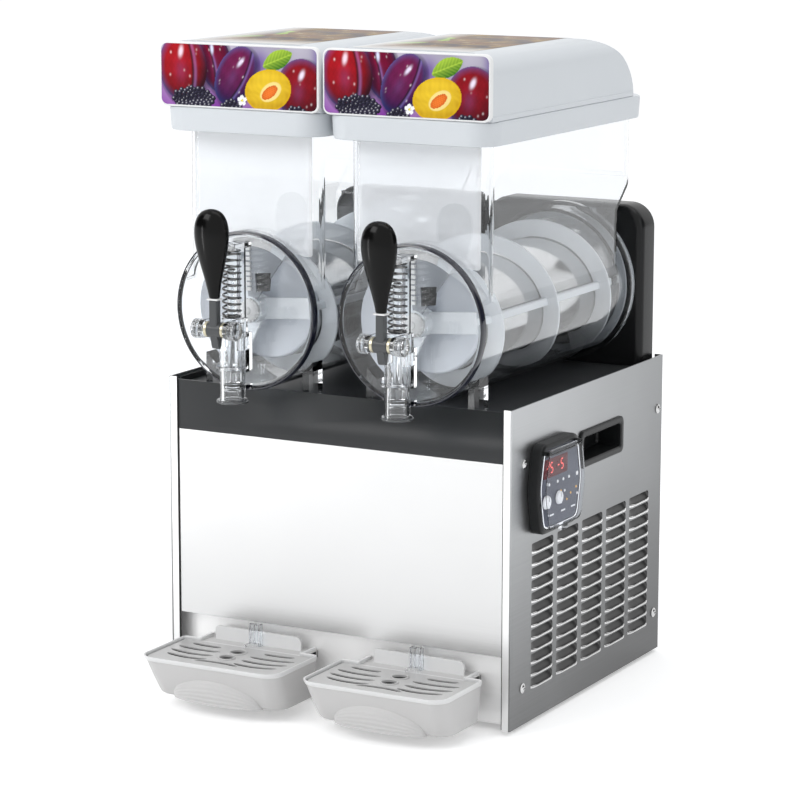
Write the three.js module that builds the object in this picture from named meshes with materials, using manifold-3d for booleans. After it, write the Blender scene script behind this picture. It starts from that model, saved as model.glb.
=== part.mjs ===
// Twin-bowl frozen drink machine: a stainless cabinet with the cooling unit inside, and on its deck two
// clear bowls, each with a cold barrel, a scraping auger, a spring tap, a lift-off lid and a drip tray.
// Millimetres. +X is the machine's right-hand side seen from the front, +Y runs to the rear, +Z is up.
// While the pieces are made, x = 0 is the middle of the cabinet, y = 0 its front face and z = 0 the
// bottom edge of its side panels. The finished group is moved so that its origin is the middle of the
// footprint, on the surface that the feet stand on.

import * as THREE from 'three';
import { mergeVertices } from 'three/addons/utils/BufferGeometryUtils.js';
import Module from 'manifold-3d';

const wasm = await Module();
wasm.setup();

// ---------------------------------------------------------------- driving dimensions

const gap = 0.3; // left between pieces that touch

// Bowls: an upright tank that opens into a level barrel. The barrels and the towers behind them set
// how far apart the bowls stand, and with the margin beside them how wide the cabinet is.
const barrelRadius = 82;
const rearFlangeLip = 5;
const towerSide = 8; // how much wider the tower is than the barrel's flange, on each side
const cabinetMargin = 9.7; // from the tower to the outside of the cabinet
const barrelLift = 6; // between the deck and the underside of the barrel
const barrelFront = -20;
const bowlWall = 3;
const noseThickness = 4;
const rearFlangeDepth = 9;
const tankHalfWidth = 78;
const tankFront = -3;
const tankRear = 340;
const tankTop = 600;
const tankCorner = 14;
const tankWaistRear = 301; // rear wall where the tank meets the barrel
const tankStepLow = 494; // the rear wall leans back between these two heights
const tankStepHigh = 528;
const bowlFoot = { width: 12, y: 8, depth: 20, spread: 58, rise: 52 };
const rearFlangeRadius = barrelRadius + rearFlangeLip;
const towerHalfWidth = rearFlangeRadius + towerSide;
const bowlPitch = 2 * (towerHalfWidth + gap);
const cabinetWidth = bowlPitch + 2 * (towerHalfWidth + cabinetMargin);

// Cabinet
const cabinetDepth = 368;
const cabinetHeight = 329;
const sheet = 1.5;
const wrapFlange = 9; // how far the side panels turn round the front and the rear
const deckTop = 320;
const deckSheet = 3;
const deckLip = 6;
const barrelZ = deckTop + barrelLift + barrelRadius;
const apronBottom = 274;
const frontPanelBottom = 76;
const kickInset = 15;
const basePanHeight = 10;
const basePanSheet = 2;
const basePanUpturn = 20;
const footRadius = 17;
const footDrop = 4; // how far the feet stand below the side panels
const footInset = 45;

// Louvres in the side panels
const louvreColumns = 5;
const louvreRows = 12;
const louvreWidth = 50;
const louvreHeight = 7.5;
const louvreColumnPitch = 59.5;
const louvreRowPitch = 12.8;
const louvreFirstY = 72.5; // middle of the front column
const louvreFirstZ = 39; // middle of the lowest row

// Hand grips
const gripY = 209.5;
const gripZ = 260.5;
const gripBezelWidth = 106;
const gripBezelHeight = 37;
const gripBezelThickness = 2.5;
const gripWidth = 92;
const gripHeight = 25;
const gripDepth = 26;
const gripWall = 2;

// Control panel on the right side
const controlY = 87;
const controlBottom = 194;
const controlHeight = 93;
const controlWidth = 104; // at its widest, half way up
const controlTaper = 9; // how much narrower each side is at the top and the bottom
const controlProud = 12;
const controlWall = 3;
const controlFaceInset = 7;
const controlFaceThickness = 2;
const dialRadius = 7;
const dialThickness = 3;
const dialShaftRadius = 3;
const dialPitch = 28;
const dialY = 52; // middle of the front dial
const dialZ = 228;
const coverThickness = 1.8;
const coverInset = 5;
const coverHinge = { radius: 2.2, pinRadius: 1.2, length: 70, lugWidth: 5 };

// Cooling unit
const compressorRadius = 60;
const compressorHeight = 150;
const compressorX = -95;
const compressorY = 200;
const condenserThickness = 35;
const condenserHeight = 190;
const condenserX = 168;
const coreY = 195; // middle of the condenser and the fan
const condenserLength = 258;
const fanRadius = 78;
const fanTipClearance = 4;
const fanDepth = 14;
const fanMotorRadius = 36;
const fanMotorLength = 33;
const fanShaftRadius = 3;
const shroudSheet = 3.5;
const drier = { x: 20, y: 320, radius: 10, height: 110 };
const gland = { x: -150, z: 45, radius: 9, nutRadius: 13, length: 22 };

// Lid and hood
const lidSpacing = 4.6; // between the two lids
const lidHalfWidth = (bowlPitch - lidSpacing) / 2;
const lidFront = -30;
const lidRear = 345;
const lidBottom = 590;
const lidTop = 614;
const lidCorner = 28;
const lidWall = 3;
const lidSeatWidth = 8;
const hoodInset = 2; // from the lid's side to the hood's
const hoodHalfWidth = lidHalfWidth - hoodInset;
const hoodFront = -22;
const hoodRear = 310;
const hoodTop = 681;
const hoodShoulder = 24;
const hoodCurveStart = 190;
const hoodWall = 2.5;
const pictureTop = 680;
const pictureThickness = 6.3;
const pictureCorner = 8;

// Rear tower
const towerTop = 495;
const towerFront = 330;
const towerRear = 364;
const towerCorner = 26;
const towerWall = 2.5;
const towerEdge = 8; // bevel round the front face

// Evaporator, auger and drive
const evaporatorRadius = 56;
const evaporatorWall = 4;
const evaporatorFront = 28;
const evaporatorFlangeRadius = 70;
const evaporatorFlange = 3;
const augerClearance = 4; // between the auger and the barrel's wall
const augerRadius = barrelRadius - bowlWall - augerClearance;
const augerRunning = 1; // between the auger and the evaporator
const augerPitch = 127;
const augerBladeThickness = 4;
const augerRightY = 291; // where the blade crosses the right-hand side for the last time
const augerRearAngle = -76;
const augerFrontAngle = 785;
const augerBarWidth = 8;
const augerBars = 3;
const augerArm = { from: 62, to: 97, front: -8, thickness: 3 };
const augerHubRadius = 14;
const shaftRadius = 6;
const shaftFront = -10;
const shaftRear = 346;
const shaftClearance = 0.5;
const nutRadius = 12;
const nutFront = -14;
const motorClearance = 4; // between the motor and the evaporator's wall
const motorShaftGap = 2;
const motorReach = evaporatorRadius - evaporatorWall - motorClearance;
const motorRadius = (motorReach - shaftRadius - motorShaftGap) / 2;
const motorOffset = shaftRadius + motorShaftGap + motorRadius;
const motorLength = 43;
const gearboxHalfWidth = 32;
const gearboxDepth = 14;
const motorPlate = { halfWidth: 60, halfHeight: 58, thickness: 3.2 };

// Tap
const tapY = -44;
const spoutRadius = 13;
const spoutBore = 9.5;
const spoutBottom = 318;
const spoutTop = 388;
const spoutFlangeRadius = 16.5;
const spoutFlange = 3;
const crossFlangeZ = 353;
const portBottom = 334;
const portHeight = 13;
const portHalfWidth = 5;
const pistonBottom = 330;
const pistonHeight = 22;
const plungerRod = 4.5;
const collarBottom = 398.3;
const collarHeight = 6.7;
const collarRadius = 10.5;
const springTop = 475;
const springRadius = 9;
const springWire = 1;
const springCoils = 7;
const plungerTop = 455;
const retainerThickness = 5;
const pivotY = -74;
const pivotZ = 397;
const pivotRadius = 3;
const pivotClearance = 0.3;
const earInside = 12;
const earThickness = 4;
const capRadius = 10;
const capWidth = 9.7;
const washerRadius = 8;
const handleHub = { radius: 8, halfWidth: 7.6 };
const gripTop = 520;
const gripBottom = 430;
const gripWidest = 19.5;
const gripFlatness = 0.6;
const forkInside = 5.2;
const forkThickness = 3;
const handleTail = 378;

// Drip tray
const trayHalfWidth = 82;
const trayFront = -104;
const trayRear = -12;
const trayTop = 55;
const trayBottom = 9;
const traySideDraft = 5; // how far each side leans in towards the bottom
const trayFrontDraft = 26;
const trayWall = 2.5;
const trayCorner = 18;
const trayLedge = 4;
// the shell-shaped finger grip on the front
const trayGrip = { halfWidth: 53, height: 26, depth: 14, setBack: 8 };
const tongueHalfWidth = 64;
const tongueTop = 50;
const tongueThickness = 6;
const tongueRear = 20;
const upstandHalfWidth = 52;
const upstandTop = 66;
const gridThickness = 4;
const gridSlots = 4; // on each side of the middle
const gridSlotWidth = 4;
const indicator = { halfWidth: 7, front: -5, rear: 1, top: 75 };

// Faces used for round shapes, from the barrels down to pins and corners
const barrelFaces = 28;
const roundFaces = 16;
const pinFaces = 10;
const cornerFaces = 3;

// ---------------------------------------------------------------- finishes

const finish = (color, roughness, metalness = 0, opacity = 1) => new THREE.MeshStandardMaterial({
  color, roughness, metalness, opacity, transparent: opacity < 1,
});
const satinSteel = finish(0xb9bbbd, 0.35, 1);
const brightSteel = finish(0xdcdddf, 0.25, 1);
const mirrorSteel = finish(0xc8cacc, 0.1, 1);
const darkPlastic = finish(0x2b2b2e, 0.45);
const glossBlack = finish(0x101012, 0.12);
const greyPlastic = finish(0x55575a, 0.5);
const paleGrey = finish(0xd9dcdc, 0.4);
const trayGrey = finish(0xc9cccd, 0.45);
const augerWhite = finish(0xe6ebef, 0.4, 0, 0.9);
const clearPlastic = finish(0xdfe6ee, 0.05, 0, 0.3);
const slateBlue = finish(0x5d6675, 0.4);
const dialWhite = finish(0xf2f2f2, 0.35);
const pictureRed = finish(0xa03a46, 0.3);
const softRubber = finish(0x1c1c1c, 0.8);
const clearRubber = finish(0xcfd3d6, 0.6);
const castGrey = finish(0x6f7275, 0.6, 0.8);
const enamelBlack = finish(0x18181a, 0.4, 0.3);
const copperFins = finish(0xa9adb0, 0.5, 0.9);
const brassWasher = finish(0xd8c98a, 0.3, 0.9);

// ---------------------------------------------------------------- making solids

// A geometry whose faces close on themselves becomes a solid that can be cut and joined.
function solid(geometry) {
  const bare = geometry.clone();
  bare.deleteAttribute('normal');
  bare.deleteAttribute('uv');
  const merged = mergeVertices(bare, 1e-3);
  const points = merged.attributes.position;
  const corner = [new THREE.Vector3(), new THREE.Vector3(), new THREE.Vector3()];
  const triangles = [];
  let volume = 0;
  for (let i = 0; i < merged.index.count; i += 3) {
    const [a, b, c] = [0, 1, 2].map((k) => merged.index.getX(i + k));
    if (a === b || b === c || c === a) continue;
    triangles.push([a, b, c]);
    [a, b, c].forEach((index, k) => corner[k].fromBufferAttribute(points, index));
    volume += corner[0].dot(corner[1].cross(corner[2]));
  }
  const triVerts = new Uint32Array(triangles.flatMap(([a, b, c]) => (volume < 0 ? [a, c, b] : [a, b, c])));
  const vertProperties = new Float32Array(points.array);
  return new wasm.Manifold(new wasm.Mesh({ numProp: 3, vertProperties, triVerts }));
}

function geometryOf(manifold) {
  const mesh = manifold.getMesh();
  const geometry = new THREE.BufferGeometry();
  geometry.setAttribute('position', new THREE.BufferAttribute(new Float32Array(mesh.vertProperties), 3));
  geometry.setIndex(new THREE.BufferAttribute(new Uint32Array(mesh.triVerts), 1));
  geometry.computeVertexNormals();
  return geometry;
}

const join = (...parts) => parts.flat().reduce((whole, part) => whole.add(part));
const cut = (whole, ...tools) => whole.subtract(join(...tools));

function box(x0, x1, y0, y1, z0, z1) {
  const geometry = new THREE.BoxGeometry(x1 - x0, y1 - y0, z1 - z0);
  return solid(geometry.translate((x0 + x1) / 2, (y0 + y1) / 2, (z0 + z1) / 2));
}

// A cylinder along one axis; [a, b] are its middle's other two coordinates in x, y, z order.
function rod(axis, radius, from, to, [a, b], segments = roundFaces) {
  const geometry = new THREE.CylinderGeometry(radius, radius, to - from, segments);
  const middle = (from + to) / 2;
  if (axis === 'x') geometry.rotateZ(-Math.PI / 2).translate(middle, a, b);
  if (axis === 'y') geometry.translate(a, middle, b);
  if (axis === 'z') geometry.rotateX(Math.PI / 2).translate(a, b, middle);
  return solid(geometry);
}

// An outline drawn in the plane across an axis, (y, z), (x, z) or (x, y), pushed along that axis.
const planes = {
  x: new THREE.Matrix4().makeBasis(...['y', 'z', 'x'].map(unit)),
  y: new THREE.Matrix4().makeBasis(unit('x'), unit('z'), unit('y').negate()),
  z: new THREE.Matrix4(),
};

function unit(axis) {
  const vector = new THREE.Vector3();
  vector[axis] = 1;
  return vector;
}

function prism(outline, axis, from, to, options = {}) {
  const settings = { depth: to - from, bevelEnabled: false, curveSegments: cornerFaces, ...options };
  const geometry = new THREE.ExtrudeGeometry(outline, settings).applyMatrix4(planes[axis]);
  const start = axis === 'y' ? to : from;
  return solid(geometry.translate(...unit(axis).multiplyScalar(start).toArray()));
}

// A rectangle with round corners, given as one radius or [low-left, low-right, top-right, top-left].
function roundedRectangle(u0, u1, v0, v1, radius) {
  const [a, b, c, d] = Array.isArray(radius) ? radius : [radius, radius, radius, radius];
  const shape = new THREE.Shape();
  shape.moveTo(u0 + a, v0);
  shape.lineTo(u1 - b, v0);
  if (b > 0) shape.absarc(u1 - b, v0 + b, b, -Math.PI / 2, 0);
  shape.lineTo(u1, v1 - c);
  if (c > 0) shape.absarc(u1 - c, v1 - c, c, 0, Math.PI / 2);
  shape.lineTo(u0 + d, v1);
  if (d > 0) shape.absarc(u0 + d, v1 - d, d, Math.PI / 2, Math.PI);
  shape.lineTo(u0, v0 + a);
  if (a > 0) shape.absarc(u0 + a, v0 + a, a, Math.PI, 1.5 * Math.PI);
  return shape;
}

function polygon(points) {
  return new THREE.Shape(points.map(([u, v]) => new THREE.Vector2(u, v)));
}

// A profile of [radius, height] points turned about the y or z axis.
function turned(profile, axis, segments = barrelFaces) {
  const geometry = new THREE.LatheGeometry(profile.map(([r, h]) => new THREE.Vector2(r, h)), segments);
  if (axis === 'z') geometry.rotateX(Math.PI / 2);
  return solid(geometry);
}

function ring(outer, inner, from, to, segments = barrelFaces) {
  return turned([[inner, from], [outer, from], [outer, to], [inner, to], [inner, from]], 'y', segments);
}

const radians = THREE.MathUtils.degToRad;

function piece(name, shape, material) {
  const mesh = new THREE.Mesh(shape instanceof THREE.BufferGeometry ? shape : geometryOf(shape), material);
  mesh.name = name;
  return mesh;
}

// ---------------------------------------------------------------- cabinet

const half = cabinetWidth / 2;
const inside = half - sheet - gap; // half-width of what stands between the side panels
const faceFront = sheet + gap; // front of what stands behind the side panels' flanges
const faceRear = cabinetDepth - sheet - gap;
const kickFront = kickInset;
const kickRear = kickInset + sheet;
const panFront = kickRear + gap;
const panRear = faceRear - sheet - gap;
const floorTop = basePanHeight + basePanSheet + gap; // what stands on the base pan starts here

function gripCutout(reach) {
  const width = gripWidth + 2 * (gripWall + reach);
  const height = gripHeight + 2 * (gripWall + reach);
  return roundedRectangle(gripY - width / 2, gripY + width / 2, gripZ - height / 2, gripZ + height / 2, 6);
}

// The right-hand panel; the left-hand one is its mirror image without the control wiring hole.
function sidePanel(side, hasControls) {
  const turn = (from, to) => box(half - wrapFlange, half, from, to, 0, cabinetHeight);
  const plate = join(
    box(half - sheet, half, 0, cabinetDepth, 0, cabinetHeight),
    turn(0, sheet),
    turn(cabinetDepth - sheet, cabinetDepth),
  );
  const cuts = [prism(gripCutout(gap), 'x', half - 2 * sheet, half + sheet)];
  if (hasControls) {
    const wiringZ = controlBottom + controlHeight / 2;
    cuts.push(rod('x', 10, half - 2 * sheet, half + sheet, [controlY, wiringZ]));
  }
  for (let column = 0; column < louvreColumns; column += 1) {
    for (let row = 0; row < louvreRows; row += 1) {
      const y = louvreFirstY + column * louvreColumnPitch;
      const z = louvreFirstZ + row * louvreRowPitch;
      cuts.push(box(half - 2 * sheet, half + sheet, y - louvreWidth / 2, y + louvreWidth / 2,
        z - louvreHeight / 2, z + louvreHeight / 2));
    }
  }
  const panel = cut(plate, cuts);
  return side > 0 ? panel : panel.mirror([1, 0, 0]);
}

function gripPocket(side) {
  const width = gripBezelWidth / 2;
  const height = gripBezelHeight / 2;
  const bezel = roundedRectangle(gripY - width, gripY + width, gripZ - height, gripZ + height, 6);
  const mouth = half + gap + gripBezelThickness;
  const hollow = roundedRectangle(gripY - gripWidth / 2, gripY + gripWidth / 2,
    gripZ - gripHeight / 2, gripZ + gripHeight / 2, 4);
  const pocket = join(
    prism(bezel, 'x', half + gap, mouth),
    prism(gripCutout(0), 'x', half - gripDepth - gripWall, mouth - 0.5),
  );
  const shape = cut(pocket, prism(hollow, 'x', half - gripDepth, mouth + 1));
  return side > 0 ? shape : shape.mirror([1, 0, 0]);
}

function frontPanel() {
  return join(
    box(-inside, inside, faceFront, faceFront + sheet, frontPanelBottom, apronBottom - gap),
    box(-inside, inside, faceFront, kickRear, frontPanelBottom, frontPanelBottom + sheet),
  );
}

// The kick panel has one slot for the tongue of each drip tray.
function kickPanel() {
  const plate = box(-inside, inside, kickFront, kickRear, 2, frontPanelBottom - gap);
  const slots = [-1, 1].map((side) => {
    const x = side * bowlPitch / 2;
    const reach = tongueHalfWidth + 1;
    return box(x - reach, x + reach, kickFront - 1, kickRear + 1, tongueTop - tongueThickness - gap,
      tongueTop + 1);
  });
  return cut(plate, slots);
}

function rearPanel() {
  const plate = box(-inside, inside, faceRear - sheet, faceRear, 2, deckTop - deckSheet - gap);
  const cuts = [rod('y', gland.radius + gap, faceRear - 2 * sheet, faceRear + sheet, [gland.x, gland.z])];
  for (let row = 0; row < 8; row += 1) {
    const z = 120 + row * 16;
    cuts.push(box(-90, 90, faceRear - 2 * sheet, faceRear + sheet, z, z + louvreHeight));
  }
  return cut(plate, cuts);
}

function basePan() {
  const top = basePanHeight + basePanUpturn;
  const outer = box(-inside, inside, panFront, panRear, basePanHeight, top);
  const hollow = box(-inside + basePanSheet, inside - basePanSheet, panFront + basePanSheet,
    panRear - basePanSheet, basePanHeight + basePanSheet, top + 1);
  return cut(outer, hollow);
}

// The deck carries the bowls. Its front turns down as an apron and its sides up as a drip lip.
function topDeck() {
  const lipTop = deckTop + deckLip;
  const deck = join(
    box(-inside, inside, faceFront, faceRear, deckTop - deckSheet, deckTop),
    box(-inside, inside, faceFront, faceFront + deckSheet, apronBottom, lipTop),
    box(-inside, -inside + deckSheet, faceFront, faceRear, deckTop - deckSheet, lipTop),
    box(inside - deckSheet, inside, faceFront, faceRear, deckTop - deckSheet, lipTop),
  );
  const cableHoles = [-1, 1].map((side) => {
    const x = side * bowlPitch / 2;
    return box(x - 30, x + 30, towerFront + 10, towerRear - 6, deckTop - 2 * deckSheet, deckTop + 1);
  });
  return cut(deck, cableHoles);
}

function foot(x, y) {
  const top = basePanHeight - gap;
  const profile = [
    [0, -footDrop], [footRadius - 3, -footDrop], [footRadius, 0], [footRadius, top], [0, top],
  ];
  return turned(profile, 'z', roundFaces).translate([x, y, 0]);
}

// ---------------------------------------------------------------- control panel

// The housing's outline, drawn inwards by an inset: widest half way up, with rounded corners.
function controlOutline(inset, corner) {
  const bottom = controlBottom + inset;
  const top = controlBottom + controlHeight - inset;
  const wide = controlWidth / 2 - inset;
  const narrow = wide - controlTaper;
  const middle = (bottom + top) / 2;
  const points = [
    [controlY - narrow, bottom], [controlY + narrow, bottom], [controlY + wide, middle],
    [controlY + narrow, top], [controlY - narrow, top], [controlY - wide, middle],
  ];
  const shape = new THREE.Shape();
  points.forEach((point, index) => {
    const here = new THREE.Vector2(...point);
    const towards = (other, distance) => new THREE.Vector2(...other).sub(here).setLength(distance).add(here);
    const start = towards(points[(index + 5) % 6], corner);
    const end = towards(points[(index + 1) % 6], corner);
    if (index === 0) shape.moveTo(start.x, start.y);
    else shape.lineTo(start.x, start.y);
    shape.quadraticCurveTo(here.x, here.y, end.x, end.y);
  });
  return shape;
}

const housingBack = half + gap;
const housingFront = housingBack + controlProud;
const faceBack = housingFront - controlFaceThickness;
const webBack = faceBack - gap - controlWall;
const hingeX = housingFront + gap + coverHinge.radius;
const hingeZ = controlBottom + controlHeight - coverInset - 3.5;
const dialPlaces = [dialY, dialY + dialPitch];
const shaftHole = (y, from, to) => rod('x', dialShaftRadius + gap, from, to, [y, dialZ]);

function controlHousing() {
  const lugCentre = coverHinge.length / 2 + gap + coverHinge.lugWidth / 2;
  const lugs = [-1, 1].map((side) => {
    const y = controlY + side * lugCentre;
    const reach = coverHinge.lugWidth / 2;
    return box(housingFront - 2, hingeX + coverHinge.radius, y - reach, y + reach,
      hingeZ - coverHinge.radius, hingeZ + coverHinge.radius);
  });
  const hinge = [hingeX, hingeZ];
  const pinHole = rod('y', coverHinge.pinRadius + gap, controlY - 50, controlY + 50, hinge, pinFaces);
  const body = prism(controlOutline(0, 12), 'x', housingBack, housingFront);
  const recess = prism(controlOutline(controlFaceInset - gap, 8), 'x', faceBack - gap, housingFront + 1);
  const hollow = prism(controlOutline(controlFaceInset, 8), 'x', housingBack - 1, webBack);
  const holes = dialPlaces.map((y) => shaftHole(y, webBack - 1, faceBack));
  // the lugs stand on the rim above the recess, so they are joined after it is cut
  return cut(join(cut(body, recess, hollow, ...holes), lugs), pinHole);
}

function controlFace() {
  const plate = prism(controlOutline(controlFaceInset, 8), 'x', faceBack, housingFront);
  const lugSpace = coverHinge.length / 2 + coverHinge.lugWidth + 2 * gap;
  const notch = box(faceBack - 1, housingFront + 1, controlY - lugSpace, controlY + lugSpace,
    hingeZ - coverHinge.radius - gap, hingeZ + 20);
  return cut(plate, notch, ...dialPlaces.map((y) => shaftHole(y, faceBack - 1, housingFront + 1)));
}

function dial(y) {
  const knobBack = housingFront + gap;
  return join(
    rod('x', dialRadius, knobBack, knobBack + dialThickness, [y, dialZ]),
    rod('x', dialShaftRadius, webBack + 0.5, knobBack + 1, [y, dialZ]),
    box(knobBack + dialThickness - 0.5, knobBack + dialThickness + 0.8, y - 1, y + 1, dialZ - 6, dialZ + 6),
  );
}

// A shallow clear tray over the face, hung from a barrel at its top edge.
function controlCover() {
  const back = housingFront + gap;
  const front = back + dialThickness + 1.5 + coverThickness;
  const top = hingeZ - 1;
  const below = box(back - 1, front + 1, controlY - 80, controlY + 80, controlBottom - 20, top);
  const shell = cut(
    prism(controlOutline(coverInset, 10), 'x', back, front),
    prism(controlOutline(coverInset + coverThickness, 9), 'x', back - 1, front - coverThickness),
  ).intersect(below);
  const barrelEnd = coverHinge.length / 2;
  const hinge = [hingeX, hingeZ];
  const barrel = rod('y', coverHinge.radius, controlY - barrelEnd, controlY + barrelEnd, hinge, pinFaces);
  const pinEnd = barrelEnd + coverHinge.lugWidth;
  const pin = rod('y', coverHinge.pinRadius, controlY - pinEnd, controlY + pinEnd, hinge, pinFaces);
  const latch = box(back, front, controlY - 5, controlY + 5, controlBottom + coverInset - 5,
    controlBottom + coverInset + 2);
  // room for the housing's lugs beside the barrel
  const lugRoom = [-1, 1].map((side) => {
    const inner = controlY + side * (barrelEnd + gap / 2);
    const outer = controlY + side * (pinEnd + 1);
    return box(back - 1, front + 1, Math.min(inner, outer), Math.max(inner, outer),
      hingeZ - coverHinge.radius - 1.5, hingeZ + 10);
  });
  return join(cut(shell, lugRoom), barrel, pin, latch);
}

// ---------------------------------------------------------------- cooling unit

function compressor() {
  const bottom = floorTop + 8;
  const top = bottom + compressorHeight;
  const radius = compressorRadius;
  const shell = turned([
    [0, bottom], [radius * 0.8, bottom], [radius, bottom + 16], [radius, top - 50],
    [radius * 0.93, top - 28], [radius * 0.6, top - 6], [0, top],
  ], 'z', 20);
  const plate = box(-70, 70, -45, 45, floorTop, floorTop + 3);
  const stem = rod('z', radius * 0.6, floorTop + 1, bottom + 4, [0, 0]);
  const pipe = rod('z', 5, bottom + 40, bottom + 110, [radius + 2, 0], pinFaces);
  return join(shell, plate, stem, pipe).translate([compressorX, compressorY, 0]);
}

function condenser() {
  const left = condenserX - condenserThickness / 2;
  const right = condenserX + condenserThickness / 2;
  const front = coreY - condenserLength / 2;
  const rear = coreY + condenserLength / 2;
  const top = floorTop + condenserHeight;
  const parts = [
    box(left + 2, right - 2, front + 2, rear - 2, floorTop + 4, top - 4),
    box(left, right, front, front + 3, floorTop, top),
    box(left, right, rear - 3, rear, floorTop, top),
  ];
  for (let row = 0; row < 5; row += 1) {
    const z = floorTop + 25 + row * 34;
    parts.push(rod('y', 5, front - 6, rear + 6, [condenserX, z], 8));
  }
  return join(parts);
}

const fanZ = floorTop + condenserHeight / 2;
const shroudRight = condenserX - condenserThickness / 2 - gap;
const shroudLeft = shroudRight - shroudSheet;
const fanRight = shroudLeft - 2;
const fanLeft = fanRight - fanDepth;

function fanShroud() {
  const reach = condenserLength / 2;
  const top = floorTop + condenserHeight;
  const plate = box(shroudLeft, shroudRight, coreY - reach, coreY + reach, floorTop, top);
  const throat = fanRadius + fanTipClearance;
  return cut(plate, rod('x', throat, shroudLeft - 1, shroudRight + 1, [coreY, fanZ], barrelFaces));
}

function fanBlade() {
  const hub = rod('x', 15, fanLeft, fanRight, [0, 0], pinFaces);
  const blades = [0, 1, 2, 3, 4].map((index) => {
    const blade = new THREE.BoxGeometry(2, 44, fanRadius - 12);
    blade.rotateZ(radians(-62)).rotateZ(0).translate(0, 0, (fanRadius + 10) / 2);
    blade.rotateX(radians(index * 72));
    return solid(blade.translate((fanLeft + fanRight) / 2, 0, 0));
  });
  const limit = rod('x', fanRadius, fanLeft, fanRight, [0, 0], barrelFaces);
  const bore = rod('x', fanShaftRadius + gap, fanLeft - 1, fanRight + 1, [0, 0], pinFaces);
  return cut(join(hub, blades).intersect(limit), bore).translate([0, coreY, fanZ]);
}

function fanMotor() {
  const right = fanLeft - 2;
  const left = right - fanMotorLength;
  const middle = (left + right) / 2;
  return join(
    rod('x', fanMotorRadius, left, right, [coreY, fanZ]),
    rod('x', fanShaftRadius, right - 1, fanRight - 1, [coreY, fanZ], pinFaces),
    box(middle - 3, middle + 3, coreY - 30, coreY + 30, floorTop, fanZ - 15),
    box(middle - 20, middle + 20, coreY - 30, coreY + 30, floorTop, floorTop + 3),
  );
}

function filterDrier() {
  const bottom = floorTop + 22;
  const top = bottom + drier.height;
  const { radius } = drier;
  const shell = turned([
    [0, bottom], [radius * 0.4, bottom], [radius, bottom + 12], [radius, top - 12],
    [radius * 0.4, top], [0, top],
  ], 'z', pinFaces);
  return join(
    shell,
    box(-radius, radius, radius - 2, radius + 2, floorTop, bottom + 50),
    box(-radius, radius, radius - 14, radius + 14, floorTop, floorTop + 2),
  ).translate([drier.x, drier.y, 0]);
}

function electricalBox() {
  const right = half - sheet - gap;
  const shell = box(right - 42, right, controlY - 40, controlY + 40, 214, 304);
  const hollow = box(right - 40, right + 1, controlY - 38, controlY + 38, 216, 302);
  const terminals = box(right - 41, right - 24, controlY - 30, controlY + 30, 225, 250);
  return join(cut(shell, hollow), terminals);
}

function cableGland() {
  const inner = faceRear - sheet - 8;
  const middle = [gland.x, gland.z];
  const body = join(
    rod('y', gland.radius, inner, faceRear + gap + gland.length, middle),
    rod('y', gland.nutRadius, faceRear + gap, faceRear + gap + 6, middle, 6),
  );
  return cut(body, rod('y', gland.radius - 4, inner - 1, faceRear + gland.length + 2, middle, pinFaces));
}

// ---------------------------------------------------------------- bowl, drawn about its own middle plane

const towerFace = towerFront - gap; // what sits against the tower ends here

// Tank seen from the side, drawn inwards by an inset.
function tankSide(inset) {
  return polygon([
    [tankFront + inset, barrelZ], [tankWaistRear - inset, barrelZ], [tankWaistRear - inset, tankStepLow],
    [tankRear - inset, tankStepHigh], [tankRear - inset, tankTop + 1], [tankFront + inset, tankTop + 1],
  ]);
}

function tankVolume(inset, top) {
  const plan = roundedRectangle(-tankHalfWidth + inset, tankHalfWidth - inset, tankFront + inset,
    tankRear - inset, tankCorner - inset);
  const reach = cabinetWidth;
  return prism(plan, 'z', barrelZ, top).intersect(prism(tankSide(inset), 'x', -reach, reach));
}

function barrelRod(radius, from, to, segments = barrelFaces) {
  return rod('y', radius, from, to, [0, barrelZ], segments);
}

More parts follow.
